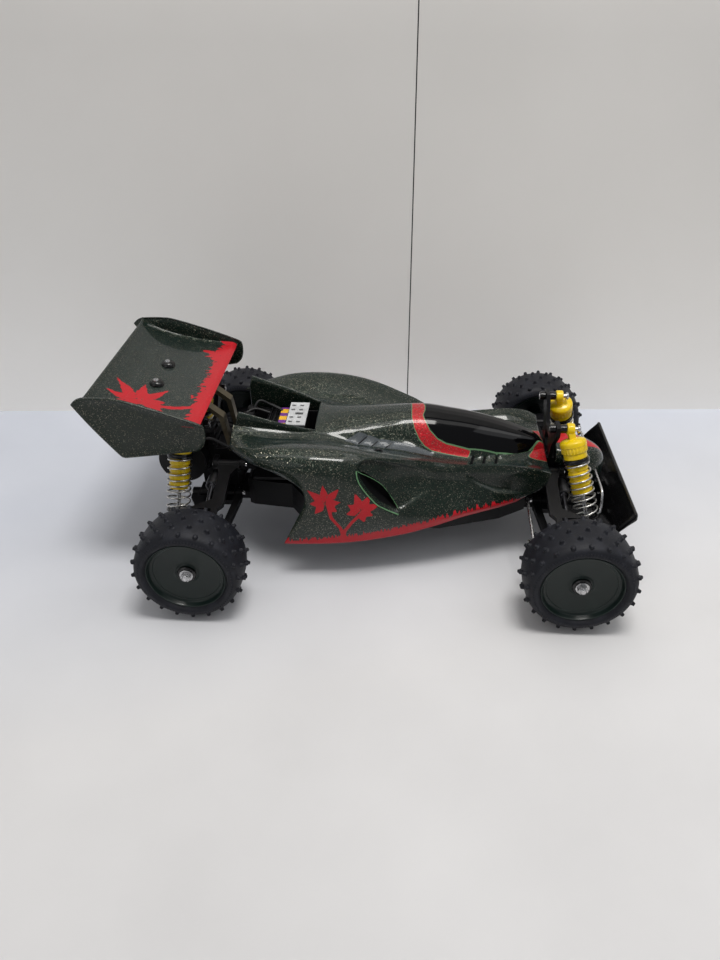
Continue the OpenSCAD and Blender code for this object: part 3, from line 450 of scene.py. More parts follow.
def tube(path, radius, sides=12):
    """Points and faces of a round tube along a path, with flat ends."""
    path = np.asarray(path, float)
    count = len(path)
    tangents = np.gradient(path, axis=0)
    tangents /= np.linalg.norm(tangents, axis=1)[:, None]
    normal = np.cross(tangents[0], (0.0, 0.0, 1.0))
    if np.linalg.norm(normal) < 1e-3:
        normal = np.cross(tangents[0], (1.0, 0.0, 0.0))
    points = []
    for i in range(count):
        normal = normal - tangents[i] * np.dot(normal, tangents[i])
        normal /= np.linalg.norm(normal)
        side = np.cross(tangents[i], normal)
        for s in range(sides):
            a = 2 * math.pi * s / sides
            points.append(path[i] + radius * (math.cos(a) * normal + math.sin(a) * side))
    faces = grid_faces(count, sides, wrap=True)
    faces.append(tuple(range(sides)))
    faces.append(tuple((count - 1) * sides + s for s in range(sides))[::-1])
    return points, faces


def point_outwards(mesh):
    work = bmesh.new()
    work.from_mesh(mesh)
    bmesh.ops.recalc_face_normals(work, faces=work.faces)
    work.to_mesh(mesh)
    work.free()


def smooth(mesh, angle):
    """Smooth shading with sharp edges above an angle in degrees."""
    for polygon in mesh.polygons:
        polygon.use_smooth = True
    mesh.set_sharp_from_angle(angle=math.radians(angle))


def solid(name, points, faces, material, body, slot, smooth_angle=40):
    """A closed piece that rides on a body."""
    mesh = mesh_from(name, points, faces)
    point_outwards(mesh)
    obj = make_object(name, mesh, material, smooth_angle)
    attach(obj, body)
    return obj


def add_wall(obj, thickness, offset):
    """Gives a sheet real thickness: offset 0 is centred, -1 is inwards."""
    wall = obj.modifiers.new("wall", "SOLIDIFY")
    wall.thickness = thickness * MM
    wall.offset = offset
    return wall


def join_parts(parts):
    """Joins (points, faces) pairs into one."""
    points, faces = [], []
    for p, f in parts:
        base = len(points)
        points.extend(tuple(q) for q in p)
        faces.extend(tuple(base + i for i in face) for face in f)
    return points, faces


def frame_from(axis, hint=(1.0, 0.0, 0.0)):
    """3 columns: two directions across the axis, then the axis."""
    axis = np.asarray(axis, float) / np.linalg.norm(axis)
    across = np.asarray(hint, float) - axis * np.dot(hint, axis)
    across /= np.linalg.norm(across)
    return np.stack([across, np.cross(axis, across), axis], axis=1)


def placed(part, origin, columns):
    """Moves points given in local columns to origin."""
    points, faces = part
    return [np.asarray(origin, float) + columns @ np.asarray(p, float) for p in points], faces


def turned(profile, steps=64):
    """A closed (radius, z) profile turned about the z axis."""
    points, faces = revolve(profile, steps)
    return [(x, z, y) for x, y, z in points], faces


def block(low, high, radius=0.6):
    """A box with rounded edges."""
    work = bmesh.new()
    bmesh.ops.create_cube(work, size=1)
    size = np.asarray(high, float) - np.asarray(low, float)
    middle = (np.asarray(high, float) + np.asarray(low, float)) / 2
    for v in work.verts:
        v.co = Vector(middle + np.array(v.co) * size)
    bmesh.ops.bevel(work, geom=list(work.edges), offset=radius, segments=3, affect="EDGES", profile=0.5)
    work.verts.index_update()
    points = [tuple(v.co) for v in work.verts]
    faces = [tuple(v.index for v in f.verts) for f in work.faces]
    work.free()
    return points, faces


def mirrored(part):
    points, faces = part
    return [(p[0], -p[1], p[2]) for p in points], [tuple(reversed(f)) for f in faces]


# ---------------------------------------------------------------- curves and paint edges

def smooth_line(keys):
    """A monotone cubic curve through keys (t, values...); returns f(t) -> array of values."""
    keys = np.asarray(keys, float)
    t, values = keys[:, 0], keys[:, 1:]
    h = np.diff(t)[:, None]
    d = np.diff(values, axis=0) / h
    slope = np.zeros_like(values)
    slope[0], slope[-1] = d[0], d[-1]
    same = (d[:-1] * d[1:]) > 0
    w1, w2 = 2 * h[1:] + h[:-1], h[1:] + 2 * h[:-1]
    with np.errstate(divide="ignore", invalid="ignore"):
        inner = (w1 + w2) / (w1 / d[:-1] + w2 / d[1:])
    slope[1:-1] = np.where(same, np.nan_to_num(inner), 0)

    def value(at):
        i = int(np.clip(np.searchsorted(t, at) - 1, 0, len(t) - 2))
        w = t[i + 1] - t[i]
        s = min(max((at - t[i]) / w, 0.0), 1.0)
        a = (1 + 2 * s) * (1 - s) ** 2
        b = s * (1 - s) ** 2 * w
        c = s * s * (3 - 2 * s)
        e = s * s * (s - 1) * w
        return a * values[i] + b * slope[i] + c * values[i + 1] + e * slope[i + 1]

    return value


def catmull(points, per_span):
    """A centripetal-like smooth polyline through points."""
    p = np.asarray(points, float)
    p = np.vstack([2 * p[0] - p[1], p, 2 * p[-1] - p[-2]])
    out = []
    for i in range(1, len(p) - 2):
        count = per_span if np.isscalar(per_span) else per_span[i - 1]
        for s in np.arange(count) / count:
            out.append(0.5 * (2 * p[i] + (p[i + 1] - p[i - 1]) * s
                              + (2 * p[i - 1] - 5 * p[i] + 4 * p[i + 1] - p[i + 2]) * s * s
                              + (3 * p[i] - p[i - 1] - 3 * p[i + 1] + p[i + 2]) * s ** 3))
    out.append(p[-2])
    return np.array(out)


def inside_by(points, outline):
    """Signed distance to a closed 2-D outline: positive inside."""
    p = np.asarray(points, float)
    q = np.asarray(outline, float)
    best = np.full(len(p), 1e9)
    inside = np.zeros(len(p), bool)
    for a, b in zip(q, np.roll(q, -1, 0)):
        e = b - a
        t = np.clip(((p - a) @ e) / (e @ e), 0, 1)
        best = np.minimum(best, np.hypot(*(p - a - t[:, None] * e).T))
        crosses = (a[1] > p[:, 1]) != (b[1] > p[:, 1])
        with np.errstate(divide="ignore", invalid="ignore"):
            at = (b[0] - a[0]) * (p[:, 1] - a[1]) / (b[1] - a[1]) + a[0]
        inside ^= crosses & (p[:, 0] < at)
    return np.where(inside, best, -best)


def near_path(points, path, half_width):
    """Positive within half_width of an open 2-D path."""
    p = np.asarray(points, float)
    q = np.asarray(path, float)
    best = np.full(len(p), 1e9)
    for a, b in zip(q[:-1], q[1:]):
        e = b - a
        t = np.clip(((p - a) @ e) / (e @ e), 0, 1)
        best = np.minimum(best, np.hypot(*(p - a - t[:, None] * e).T))
    return half_width - best


def burst(centre, heading, lobes, reach, width, spread):
    """Outlines of a splash of pointed lobes round a centre."""
    shapes = []
    for k in range(lobes):
        share = k / (lobes - 1) - 0.5
        a = math.radians(heading + spread * share)
        length = reach * (1 - 0.35 * abs(share) * 2) * (1.0 if k % 2 == 0 else 0.82)
        along = np.array([math.cos(a), math.sin(a)])
        across = np.array([-along[1], along[0]])
        c = np.asarray(centre, float)
        shapes.append([c, c + along * length * 0.45 + across * width, c + along * length,
                       c + along * length * 0.5 - across * width])
    return shapes


# "line" is a painted edge highlight and "dark" is painted shade
MARKS = ("band", "red", "fringe", "line", "window", "grey", "dark")


def store(mesh, name, values):
    """Writes one number per point, making the attribute where it is missing."""
    attribute = mesh.attributes.get(name) or mesh.attributes.new(name, "FLOAT", "POINT")
    attribute.data.foreach_set("value", np.asarray(values, np.float32))


def no_marks(mesh):
    for name in MARKS:
        store(mesh, name, np.full(len(mesh.vertices), OUTSIDE))


# ---------------------------------------------------------------- body shell

# Feature lines of the left half: station, then x, half width and height
SPINE = smooth_line([(-108, 101), (-80, 98), (-52, 95), (-43, 96), (-5, 99.5), (16, 101.5), (27, 102),
                     (45, 99.6), (60, 97), (75, 93.3), (89, 89), (104, 83), (111, 78.5), (115, 74.5)])
CANOPY_BASE = smooth_line([(-108, 28, 100.8), (-80, 26.5, 97.5), (-61, 24, 94), (-51, 21.5, 93.3),
                           (-40, 21, 92), (-10, 21.5, 90), (14, 22, 88), (30, 25.5, 82.5), (60, 24, 77.5),
                           (90, 17.5, 74.8), (106, 10, 73.6), (115, 5.5, 73)])
SHOULDER = smooth_line([(-108, 34, 97.2), (-99, 35.5, 96), (-87, 36, 95), (-75, 34.5, 93.4),
                        (-60, 32.1, 91.7), (-50, 31, 90.6), (-40, 29.5, 89.1), (-30, 28.6, 87.2),
                        (-20, 28.3, 85.7), (-10, 29.3, 85), (0, 30.7, 84.5), (10, 32.1, 84), (20, 33, 82.4),
                        (30, 33, 80), (45, 32.4, 77.4), (60, 31.5, 75.8), (75, 31, 75.2), (90, 31, 74.6),
                        (104, 31, 73.5), (115, 31, 72)])
CROWN = smooth_line([(-108, 43, 93.8), (-99, 49.5, 95.4), (-90, 53.3, 96.9), (-80, 55.6, 98.7),
                     (-70, 56.8, 99.7), (-60, 57.1, 100.1), (-50, 57, 99.9), (-40, 56.8, 99.3),
                     (-30, 56.3, 98.3), (-20, 55.8, 96.4), (-10, 54.8, 93.8), (0, 52.1, 91.1),
                     (10, 48.9, 88.2), (20, 45.2, 85.4), (30, 40.9, 82), (45, 38.7, 78.7), (60, 39.3, 78),
                     (75, 39.7, 79.1), (90, 41.1, 79.8), (100, 42.1, 79), (108, 42.4, 77.3), (115, 41, 74.3)])
SIDE_ROWS = [
    smooth_line([(-108, -108, 43, 91.3), (-99, -99, 52, 92.3), (-87, -87, 60, 94), (-70, -70, 64, 95.8),
                 (-55, -55, 64.8, 96.2), (-40, -40, 64.5, 95.4), (-30, -30, 64, 94), (-18, -18, 62.6, 90.6),
                 (-8, -8, 60, 87), (2, 2, 55, 84), (12, 12, 50, 81.5), (24, 24, 45.6, 78.5),
                 (60, 59, 40.6, 73.8), (98, 97, 42.7, 74.2), (115, 114, 41.3, 70.2)]),
    smooth_line([(-108, -108, 41.5, 88.5), (-99, -99, 50.5, 88), (-87, -87, 60.5, 88.6), (-70, -70, 67, 89),
                 (-55, -55, 69.3, 88.5), (-40, -40, 69.6, 87), (-30, -30, 69.3, 85), (-18, -18, 68, 80.5),
                 (-8, -8, 64.5, 76), (2, 2, 59, 72.5), (12, 12, 53, 70.5), (24, 24, 48.4, 69),
                 (60, 57.5, 42.8, 65), (98, 94.5, 42.5, 65), (115, 111, 41.1, 63.5)]),
    smooth_line([(-108, -108, 40, 87), (-99, -99, 48, 85.5), (-75, -75, 62, 83.5), (-57, -57, 69.5, 78.5),
                 (-53, -50.5, 71.3, 71), (-45, -43, 71.7, 69), (-25, -25, 71.5, 67), (-8, -8, 69, 63.5),
                 (6, 6, 63, 60), (24, 24, 56, 58), (60, 56, 48, 56.5), (98, 91, 43, 57),
                 (115, 105, 40.7, 57.8)]),
    smooth_line([(-108, -108, 39, 86.4), (-99, -99, 46, 84.4), (-75, -75, 58, 81.5), (-57, -54, 69.6, 73.5),
                 (-53, -53, 72.6, 52), (-45, -46, 72.8, 51), (-25, -26, 72.2, 50), (-8, -8, 69.8, 48.5),
                 (11, 11, 65, 47.5), (40, 38, 58.4, 47.5), (61, 58, 53, 49.5), (98, 88, 43.8, 51.3),
                 (115, 98, 40.5, 53.2)]),
    smooth_line([(-108, -108, 38, 86), (-99, -99, 44.5, 83.8), (-94, -94, 47.8, 82.3), (-75, -73, 57, 78.5),
                 (-57, -51.5, 69.4, 70.5), (-53, -70, 71.5, 30.4), (-45, -59, 71, 29.8),
                 (-30, -34, 69.8, 30.4),
                 (11, 10, 63, 33.8), (40, 37, 57, 39), (61, 56, 52, 43.6), (98, 83.5, 43.5, 47.2),
                 (115, 93, 40.3, 49)]),
]
DECK_FRONT = -51.0
RIDGE = 5.0
HUMP, DECK, BAND, SIDE = 24, 8, 12, (10, 12, 12, 12, 12)
FIRST_SIDE = HUMP + DECK + BAND


def stations():
    """Station values, with DECK_FRONT and the skirt's rear edge exactly on a station."""
    return np.concatenate([
        np.linspace(-108, -57, 44, endpoint=False), np.linspace(-57, -53, 8, endpoint=False),
        np.linspace(-53, DECK_FRONT, 3, endpoint=False), np.linspace(DECK_FRONT, 115, 166)])


def half_section(u):
    top = SPINE(u)[0]
    base_y, base_z = CANOPY_BASE(u)
    points = []
    for k in range(HUMP):
        y = base_y * k / HUMP
        s = max(0.0, (y - RIDGE) / (base_y - RIDGE)) if base_y > RIDGE + 0.1 else 0.0
        fall = 0.30 * s + 0.70 * s ** 2.5
        points.append((u, y, top - 0.25 * min(y / RIDGE, 1) - (top - 0.25 - base_z) * fall))
    shoulder_y, shoulder_z = SHOULDER(u)
    for k in range(DECK):
        s = k / DECK
        points.append((u, base_y + (shoulder_y - base_y) * s,
                       base_z + (shoulder_z - base_z) * s - 0.9 * math.sin(math.pi * s)))
    crown_y, crown_z = CROWN(u)
    for k in range(BAND):
        s = k / BAND
        points.append((u, shoulder_y + (crown_y - shoulder_y) * s,
                       shoulder_z + (crown_z - shoulder_z) * (1 - (1 - s) ** 1.6)))
    side = catmull([(u, crown_y, crown_z)] + [tuple(row(u)) for row in SIDE_ROWS], SIDE)
    points.extend(tuple(p) for p in side)
    return points


# Outlines seen from the side, in x and z: the intake, and the hollow on the front side panel
INTAKE = np.array([(-19, 88.3), (-16.5, 86), (-12.5, 82.9), (-6.5, 77.6), (-1, 71.5), (4, 64.3), (8, 58.2),
                   (10.1, 54.2), (9.6, 53), (3.1, 56.9), (-4, 62.5), (-9, 68.2), (-13.5, 74.5),
                   (-17, 80.6), (-18.5, 85)])
CHANNEL = np.array([(-19, 88.3), (-18.6, 91.1), (-17, 92.6), (-13, 93.2), (-4, 91.2), (8, 86.6), (24, 79.5),
                    (36, 72), (30, 62), (10.1, 54.2), (3.1, 56.9), (-4, 62.5), (-9, 68.2), (-13.5, 74.5),
                    (-17, 80.6)])
HOLLOW_TOP = [(54, 72.2), (62, 73.2), (94, 73.4), (98, 72)]
HOLLOW_LOW = [(54, 72), (59, 68), (65, 64.1), (76.9, 59.4), (94.4, 57.2), (98, 57)]

# Outlines seen from above, in x and half width
WINDOW = [(27.3, -30), (27, 3.7), (25.5, 8.8), (27.5, 13.6), (30.5, 18), (36, 21.1), (42.5, 22.2),
          (58.5, 22.3), (78, 20.2), (98, 15.8), (106.5, 8.8), (114, 0.9), (116, -30)]
RED_BAND = [(17.5, -30), (17.5, 10.3), (19.5, 17.3), (23, 22.1), (27, 24.7), (33, 26.2), (43, 26.3),
            (58, 26.5), (60, 22.4), (42.5, 22.2), (36, 21.1), (30.5, 18), (27.5, 13.6), (25.5, 8.8),
            (27, 3.7), (27.3, -30)]
NOSE_RED = [(101.5, 18.1), (106.5, 9), (114.5, 1.5), (118, 0), (118, 22), (108, 20.5)]
LOUVRES = [(-31, 25.6), (-19.5, 19.5), (-5, 22.6), (15, 24.2), (33, 27), (33, 30), (17, 31), (-3, 28.9),
           (-21, 26.9)]
LOUVRE_SLITS = [[(-21.5, 27), (-13.5, 21)], [(-11.5, 28), (-5, 22.7)], [(-1, 28.5), (4, 24.2)]]
# Saw-tooth louvres on each shoulder: outer and inner end of each edge, and the tail of the last one
GILLS = [((57.5, 36.6), (61.5, 23)), ((66.5, 33), (70, 21.6)), ((76, 31.5), (78.5, 20)),
         ((88, 28.5), (89, 27.6))]
GILL_DEPTH = 2.2
GILL_SHADE = 2.0
# Splashes of paint: centre, heading, reach and spread of their pointed lobes, then their stems
SPLASHES = [((-40, 66.5), 95, 18, 270), ((-16, 60.5), 60, 17, 270)]
STEMS = [[(-38, 65), (-36, 55), (-30, 46), (-28, 36)], [(-14, 60), (-22, 51), (-27, 43), (-28, 36)]]
LIP_RED = smooth_line([(-70, 3.6), (-56.5, 4.6), (-36, 6.8), (-14, 8.2), (11, 8.6), (40, 7.4), (70, 6),
                       (100, 4.5)])


def gill_cut(plan):
    """Depth of the louvres at each point, and the dark strip below each edge: painted shade in each step."""
    depth = np.zeros(len(plan))
    dark = np.full(len(plan), OUTSIDE)
    for edge, following, share in zip(GILLS, GILLS[1:], (0.7, 0.4, 1)):
        outer, inner = np.array(edge)
        next_outer, next_inner = np.array(following)
        inside = inside_by(plan, [inner, outer, next_outer, next_outer + (next_inner - next_outer) * share])
        forward = np.array([outer[1] - inner[1], inner[0] - outer[0]]) / np.hypot(*(inner - outer))
        ahead = (plan - outer) @ forward
        rise = np.clip(ahead / ((next_outer - outer) @ forward), 0, 1)
        depth = np.maximum(depth, GILL_DEPTH * (1 - rise) * np.clip(inside / 0.5, 0, 1))
        dark = np.maximum(dark, np.minimum(inside, GILL_SHADE - ahead))
    return depth, dark


def build_body():
    us = stations()
    half = np.array([half_section(u) for u in us])
    rows, cols = half.shape[:2]
    flat = half.reshape(-1, 3)
    on_side = (np.arange(rows * cols) % cols) >= FIRST_SIDE + 1
    plan = flat[:, [0, 1]]
    elevation = flat[:, [0, 2]]

    # The intake opens rearwards from a channel that fades out along the side
    eye = np.clip(inside_by(elevation, INTAKE), 0, 2.0) / 2.0
    channel = np.clip(inside_by(elevation, CHANNEL), 0, 3.0) / 3.0
    fade = np.clip((34 - flat[:, 0]) / 42, 0, 1)
    sunk = 5.2 * channel * channel * (3 - 2 * channel) * fade + 6.5 * eye
    flat[:, 1] -= np.where(on_side, sunk, 0)
    # The front side panel is pressed in, deepest at the crease along its lower edge
    hollow_top = np.interp(flat[:, 0], *np.transpose(HOLLOW_TOP))
    hollow_low = np.interp(flat[:, 0], *np.transpose(HOLLOW_LOW))
    share = np.clip((hollow_top - flat[:, 2]) / np.maximum(hollow_top - hollow_low, 0.5), 0, 1)
    ends = np.clip((flat[:, 0] - 54) / 8, 0, 1) * np.clip((100 - flat[:, 0]) / 12, 0, 1)
    step = np.clip((flat[:, 2] - hollow_low) / 2.2, 0, 1)
    flat[:, 1] -= np.where(on_side, 2.8 * share * step * step * (3 - 2 * step) * ends, 0)
    # Slanting slits cut the louvre strip on each shoulder
    louvre = inside_by(plan, LOUVRES)
    slit = np.max([near_path(plan, path, 0.55) for path in LOUVRE_SLITS], axis=0)
    on_deck = ~on_side
    flat[:, 2] -= np.where(on_deck, 0.9 * np.clip(slit + 0.6, 0, 0.6), 0)
    flat[:, 2] -= np.where(on_deck, 0.5 * np.clip(louvre, 0, 0.8), 0)
    gill_depth, gill_dark = gill_cut(plan)
    flat[:, 2] -= np.where(on_deck, gill_depth, 0)

    # Paint edges
    column = np.arange(rows * cols) % cols
    on_hump = column <= HUMP
    near_hump = column <= HUMP + DECK
    band = np.maximum(inside_by(plan, RED_BAND), inside_by(plan, NOSE_RED))
    lip_z = np.repeat(half[:, -1, 2], cols)
    tall = np.interp(flat[:, 0], us, [LIP_RED(u)[0] for u in us])
    fringe = np.where(on_side & (np.repeat(us, cols) > -54), lip_z + tall - flat[:, 2], OUTSIDE)
    splash = np.full(len(flat), OUTSIDE)
    for centre, heading, reach, spread in SPLASHES:
        for shape in burst(centre, heading, 7, reach, 2.9, spread):
            splash = np.maximum(splash, inside_by(elevation, shape))
    for stem in STEMS:
        splash = np.maximum(splash, near_path(elevation, stem, 1.3))
    splash = np.where(on_side & (inside_by(elevation, INTAKE) < 0), splash, OUTSIDE)
    # Painted highlight: a thin light green line along the pods' lower rear edge.
    rear_edge_highlight = 0.5 - np.abs(flat[:, 2] - lip_z - 1.0)
    # Painted shade: black inside the intake eye, in the louvre slits and in the step below each gill edge.
    dark = np.where(on_side, inside_by(elevation, INTAKE) - 0.8, OUTSIDE)
    attributes = {
        "band": np.where(near_hump, band, OUTSIDE), "red": splash, "fringe": fringe,
        "line": np.where(on_side & (np.repeat(us, cols) < -57.5), rear_edge_highlight, OUTSIDE),
        "window": np.where(on_hump, inside_by(plan, WINDOW), OUTSIDE),
        "grey": np.where(on_deck, louvre, OUTSIDE),
        "dark": np.maximum(dark, np.where(on_deck, np.where(louvre > 0.4, slit, gill_dark), OUTSIDE)),
    }
    # Full width: the left half, then its mirror image without the shared spine column
    left = flat.reshape(rows, cols, 3)
    right = left[:, 1:] * np.array([1, -1, 1])
    full = np.concatenate([left[:, ::-1], right], axis=1)
    width = full.shape[1]
    middle = cols - 1

    def skip(i, j):
        """The deck opening."""
        return us[i] < DECK_FRONT - 0.01 and middle - HUMP <= j < middle + HUMP

    faces = grid_faces(rows, width, skip=skip, flip=True)
    mesh = mesh_from("body_shell_paint", full.reshape(-1, 3), faces)
    kept = [v.index for v in mesh.vertices]
    for name, values in attributes.items():
        grid = values.reshape(rows, cols)
        both = np.concatenate([grid[:, ::-1], grid[:, 1:]], axis=1).ravel()
        store(mesh, name, both[kept])
    work = bmesh.new()
    work.from_mesh(mesh)
    loose = [v for v in work.verts if not v.link_faces]
    bmesh.ops.delete(work, geom=loose, context="VERTS")
    work.to_mesh(mesh)
    work.free()
    obj = make_object("body_shell_paint", mesh, None, 50)
    mesh.materials.append(flake_paint("body_paint", [
        ("red", PAINT_RED, 0.12, 0.3, 0.35, 0.0), ("fringe", PAINT_RED, 0.1, 0.3, 0.35, 2.3),
        ("band", PAINT_RED, 0.55, 0.3, 0.6, 0.0), ("grey", LOUVRE_GREY, 0.35, 0.4, 0.3, 0.0),
        # The "line" mark is a painted edge highlight.
        ("window", BLACK, 0.0, 0.08, 0.3, 0.0), ("line", PINSTRIPE_AND_HIGHLIGHT_GREEN, 0.0, 0.4, 0.3, 0.0),
        # The "dark" mark is painted shade.
        ("dark", BLACK, 0.0, 0.7, 0.0, 0.0)], lines=("window", "band")))
    mesh.materials.append(MAT["black"])
    add_wall(obj, 1.0, -1).material_offset = 1
    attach(obj, "chassis")
    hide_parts("body_shell")
    return obj


def sheet_piece(name, points, rows, cols, thickness, material):
    """A thin plate from a grid of points, with real thickness."""
    mesh = mesh_from(name, points, grid_faces(rows, cols))
    no_marks(mesh)
    obj = make_object(name, mesh, material, 50)
    add_wall(obj, thickness, 0)
    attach(obj, "chassis")


def build_fins(paint):
    """The two upright plates beside the rear deck opening, and the lip at the opening's front."""
    for side, tag in ((1, "left"), (-1, "right")):
        points = []
        us = np.linspace(-106, -50.6, 40)
        for u in us:
            y = CANOPY_BASE(u)[0]
            share = (-50.6 - u) / (-50.6 + 103.3)
            top = 93.6 + (111.0 - 93.6) * min(share, 1)
            if u < -103.3:
                top = 111.0 - (-103.3 - u) * 3.6
            foot = 84 - 2 * share
            for k in range(7):
                s = k / 6
                points.append((u, side * (y - 0.3 + (0.6 * (1 - s))), foot + (top - foot) * s))
        sheet_piece(f"deck_fin_{tag}", points, 40, 7, 1.1, paint)
    y = CANOPY_BASE(DECK_FRONT)[0]
    points = []
    for k in range(31):
        s = k / 30 * 2 - 1
        across = s * (y + 0.2)
        top = half_height(DECK_FRONT, abs(across))
        for d in (0, 3, 6, 10):
            points.append((DECK_FRONT + 0.2 + 0.12 * d, across, top - 0.5 - d))
    sheet_piece("deck_front_lip", points, 31, 4, 1.0, paint)


def half_height(u, y):
    """Height of the hump at half width y."""
    section = np.array(half_section(u))[: HUMP + 1]
    return float(np.interp(y, section[:, 1], section[:, 2]))


def deck_height(x, y):
    """Height of the deck or hump at a half width."""
    section = np.array(half_section(x))[: FIRST_SIDE + 1]
    return float(np.interp(y, section[:, 1], section[:, 2]))


def build_pinstripes():
    """Green beads round the side intakes, standing slightly proud of the pods."""
    n = Nodes("intake_bead")
    n.set(Base_Color=n.mix(n.span(n.noise(300), 0.3, 0.7), PINSTRIPE_AND_HIGHLIGHT_GREEN, (0.11, 0.28, 0.12)), Roughness=0.4)
    table = np.concatenate([np.array(half_section(x))[FIRST_SIDE:] for x in np.linspace(-30, 20, 101)])
    upper, lower = INTAKE[:9], np.vstack([INTAKE[8:], INTAKE[:1]])
    for side, tag in ((1, "left"), (-1, "right")):
        parts = []
        for edge, sunk, radius in ((lower, 0.25, 0.45), (upper, 4.6, 0.2)):
            path = []
            for x, z in catmull(edge, 5):
                near = np.argsort(np.hypot(table[:, 0] - x, table[:, 2] - z))[:4]
                share = math.sin(math.pi * min(max((z - 53) / 35.3, 0), 1)) ** 0.5
                path.append((x, side * (table[near, 1].mean() - sunk * share), z))
            parts.append(tube(np.array(path), radius, 8))
        solid(f"intake_bead_{tag}", *join_parts(parts), n.material, "chassis", "body_paint")


def build_nose(paint_red):
    """The nose cone between the front shocks: red on top, blue-green below."""
    ridge = smooth_line([(121.6, 17, 79), (130, 18.3, 78.5), (140, 18, 76.4), (149, 15.5, 73.4),
                         (155, 11, 70), (158, 6.5, 66.5), (159, 3.5, 64.5)])
    low = smooth_line([(121.6, 67.4), (130.5, 67.4), (132.5, 58.6), (137, 57.6), (148, 54), (155, 52),
                       (158, 55), (159, 60)])
    rows, cols = 40, 41
    points, red = [], []
    for u in np.linspace(121.6, 159, rows):
        w, top = ridge(u)
        foot = low(u)[0]
        for j in range(cols):
            a = math.pi * j / (cols - 1)
            y = w * math.copysign(abs(math.cos(a)) ** 0.8, math.cos(a))
            z = foot + (top - foot) * math.sin(a) ** 0.62
            points.append((u, y, z))
            edge = 0.44 * w * (1.0 - 0.6 * max(u - 140, 0) / 12)
            red.append(edge - abs(y) if z > foot + 0.5 * (top - foot) else -3)
    mesh = mesh_from("nose_cone", points, grid_faces(rows, cols))
    no_marks(mesh)
    store(mesh, "red", red)
    obj = make_object("nose_cone", mesh, paint_red, 50)
    add_wall(obj, 1.0, -1)
    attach(obj, "chassis")


# ---------------------------------------------------------------- wing

# Centre, heading, lobes, reach, width and spread
WING_SPLASHES = [((-166, -43), 115, 8, 31, 4.2, 270), ((-128, 42), 160, 5, 20, 3.0, 150)]


def build_wing(paint):
    edge = box_mm("rear_wing")[1][1]
    half = edge - 1.0
    profile = catmull([(-195.7, 136.4), (-193.8, 139), (-190.6, 136.6), (-187, 134.2), (-180, 130.4),
                       (-172, 127.7), (-165, 125.6), (-157, 123.9), (-149, 122.4), (-138, 121),
                       (-128, 120.3), (-124, 119.9), (-121.4, 118.2)], 7)
    across = np.linspace(-half, half, 121)
    points = []
    for x, z in profile:
        for y in across:
            points.append((x, y, z + 1.8 * max(0.0, (abs(y) - half + 7) / 7) ** 2.5))
    rows, cols = len(profile), len(across)
    mesh = mesh_from("wing_plate", points, grid_faces(rows, cols))
    no_marks(mesh)
    p = np.array(points)
    plan = p[:, [0, 1]]
    fringe = plan[:, 0] + 121.5 + 9.5 + 4.0 * np.abs((plan[:, 1] / 19 + 0.2) % 1 - 0.5)
    store(mesh, "fringe", fringe)
    red = near_path(plan, [(-166, -44), (-142, -43), (-124, -38)], 2.0)
    for splash in WING_SPLASHES:
        for shape in burst(*splash):
            red = np.maximum(red, inside_by(plan, shape))
    store(mesh, "red", np.maximum(red, OUTSIDE))
    obj = make_object("wing_plate", mesh, paint, 50)
    add_wall(obj, 1.3, -1)
    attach(obj, "chassis")
    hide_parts("rear_wing")
    outline = catmull([(-201.6, 135.6), (-199, 138.2), (-195, 140.2), (-187, 140.7), (-179, 140.7),
                       (-171, 140), (-156, 135.7), (-141, 130.8), (-126, 125.3), (-119, 122.2),
                       (-117, 119.6), (-116.8, 114.5), (-117.3, 110.6), (-119, 106.4), (-122.4, 103),
                       (-126, 102), (-150, 98.8), (-170, 96.2), (-174, 96.2), (-177, 98.6),
                       (-188, 113.8), (-197, 127.5)], 4)[:-1]
    centre = np.array([-158, 120.0])
    for side, tag in ((1, "left"), (-1, "right")):
        points, faces = [], []
        rings = [(1.0, 0.0), (0.995, 0.5), (0.975, 0.85), (0.94, 0.9), (0.9, 0.6), (0.6, 0.15), (0.3, 0.0)]
        count = len(outline)
        for face_side in (1, -1):
            for scale, dish in rings:
                for x, z in outline:
                    q = centre + (np.array([x, z]) - centre) * scale
                    y = half + 0.25 + face_side * (0.75 if dish > 0 or scale < 1 else 0) \
                        + (dish - 0.9 if scale > 0.9 else -0.6) * 0.8
                    points.append((q[0], side * min(y, edge), q[1]))
        per = count * len(rings)
        for face_side in (0, 1):
            base = face_side * per
            for r in range(len(rings) - 1):
                for k in range(count):
                    m = (k + 1) % count
                    a, b = base + r * count + k, base + r * count + m
                    c, d = base + (r + 1) * count + m, base + (r + 1) * count + k
                    faces.append((a, b, c, d))
            last = base + (len(rings) - 1) * count
            faces.append(tuple(range(last, last + count)))
        for k in range(count):
            m = (k + 1) % count
            faces.append((k, m, per + m, per + k))
        plate = solid(f"wing_end_plate_{tag}", points, faces, paint, "chassis", "wing_paint", 50)
        no_marks(plate.data)
    screws = []
    for y in (15, -15):
        dome = turned([(0.01, 122.6), (4.9, 122.6), (5.3, 123.8), (5.0, 125.8), (4.0, 127.2), (2.6, 127.8),
                       (0.01, 127.8)], 40)
        screws.append(placed(dome, (-162, y, 0), np.eye(3)))
    solid("wing_washers", *join_parts(screws), MAT["gloss_black"], "chassis", "black_nylon")
    heads = [placed(screw_head(2.0, 1.2), (-162, y, 127.5), np.eye(3)) for y in (15, -15)]
    solid("wing_screws", *join_parts(heads), MAT["steel"], "chassis", "steel")


def screw_head(radius, height):
    """A domed head with a hexagon socket, standing on z = 0."""
    return turned([(0.01, 0), (radius, 0), (radius, height * 0.5), (radius * 0.8, height),
                   (radius * 0.45, height), (radius * 0.4, height * 0.5), (0.01, height * 0.5)], 24)


# ---------------------------------------------------------------- wheels and tyres

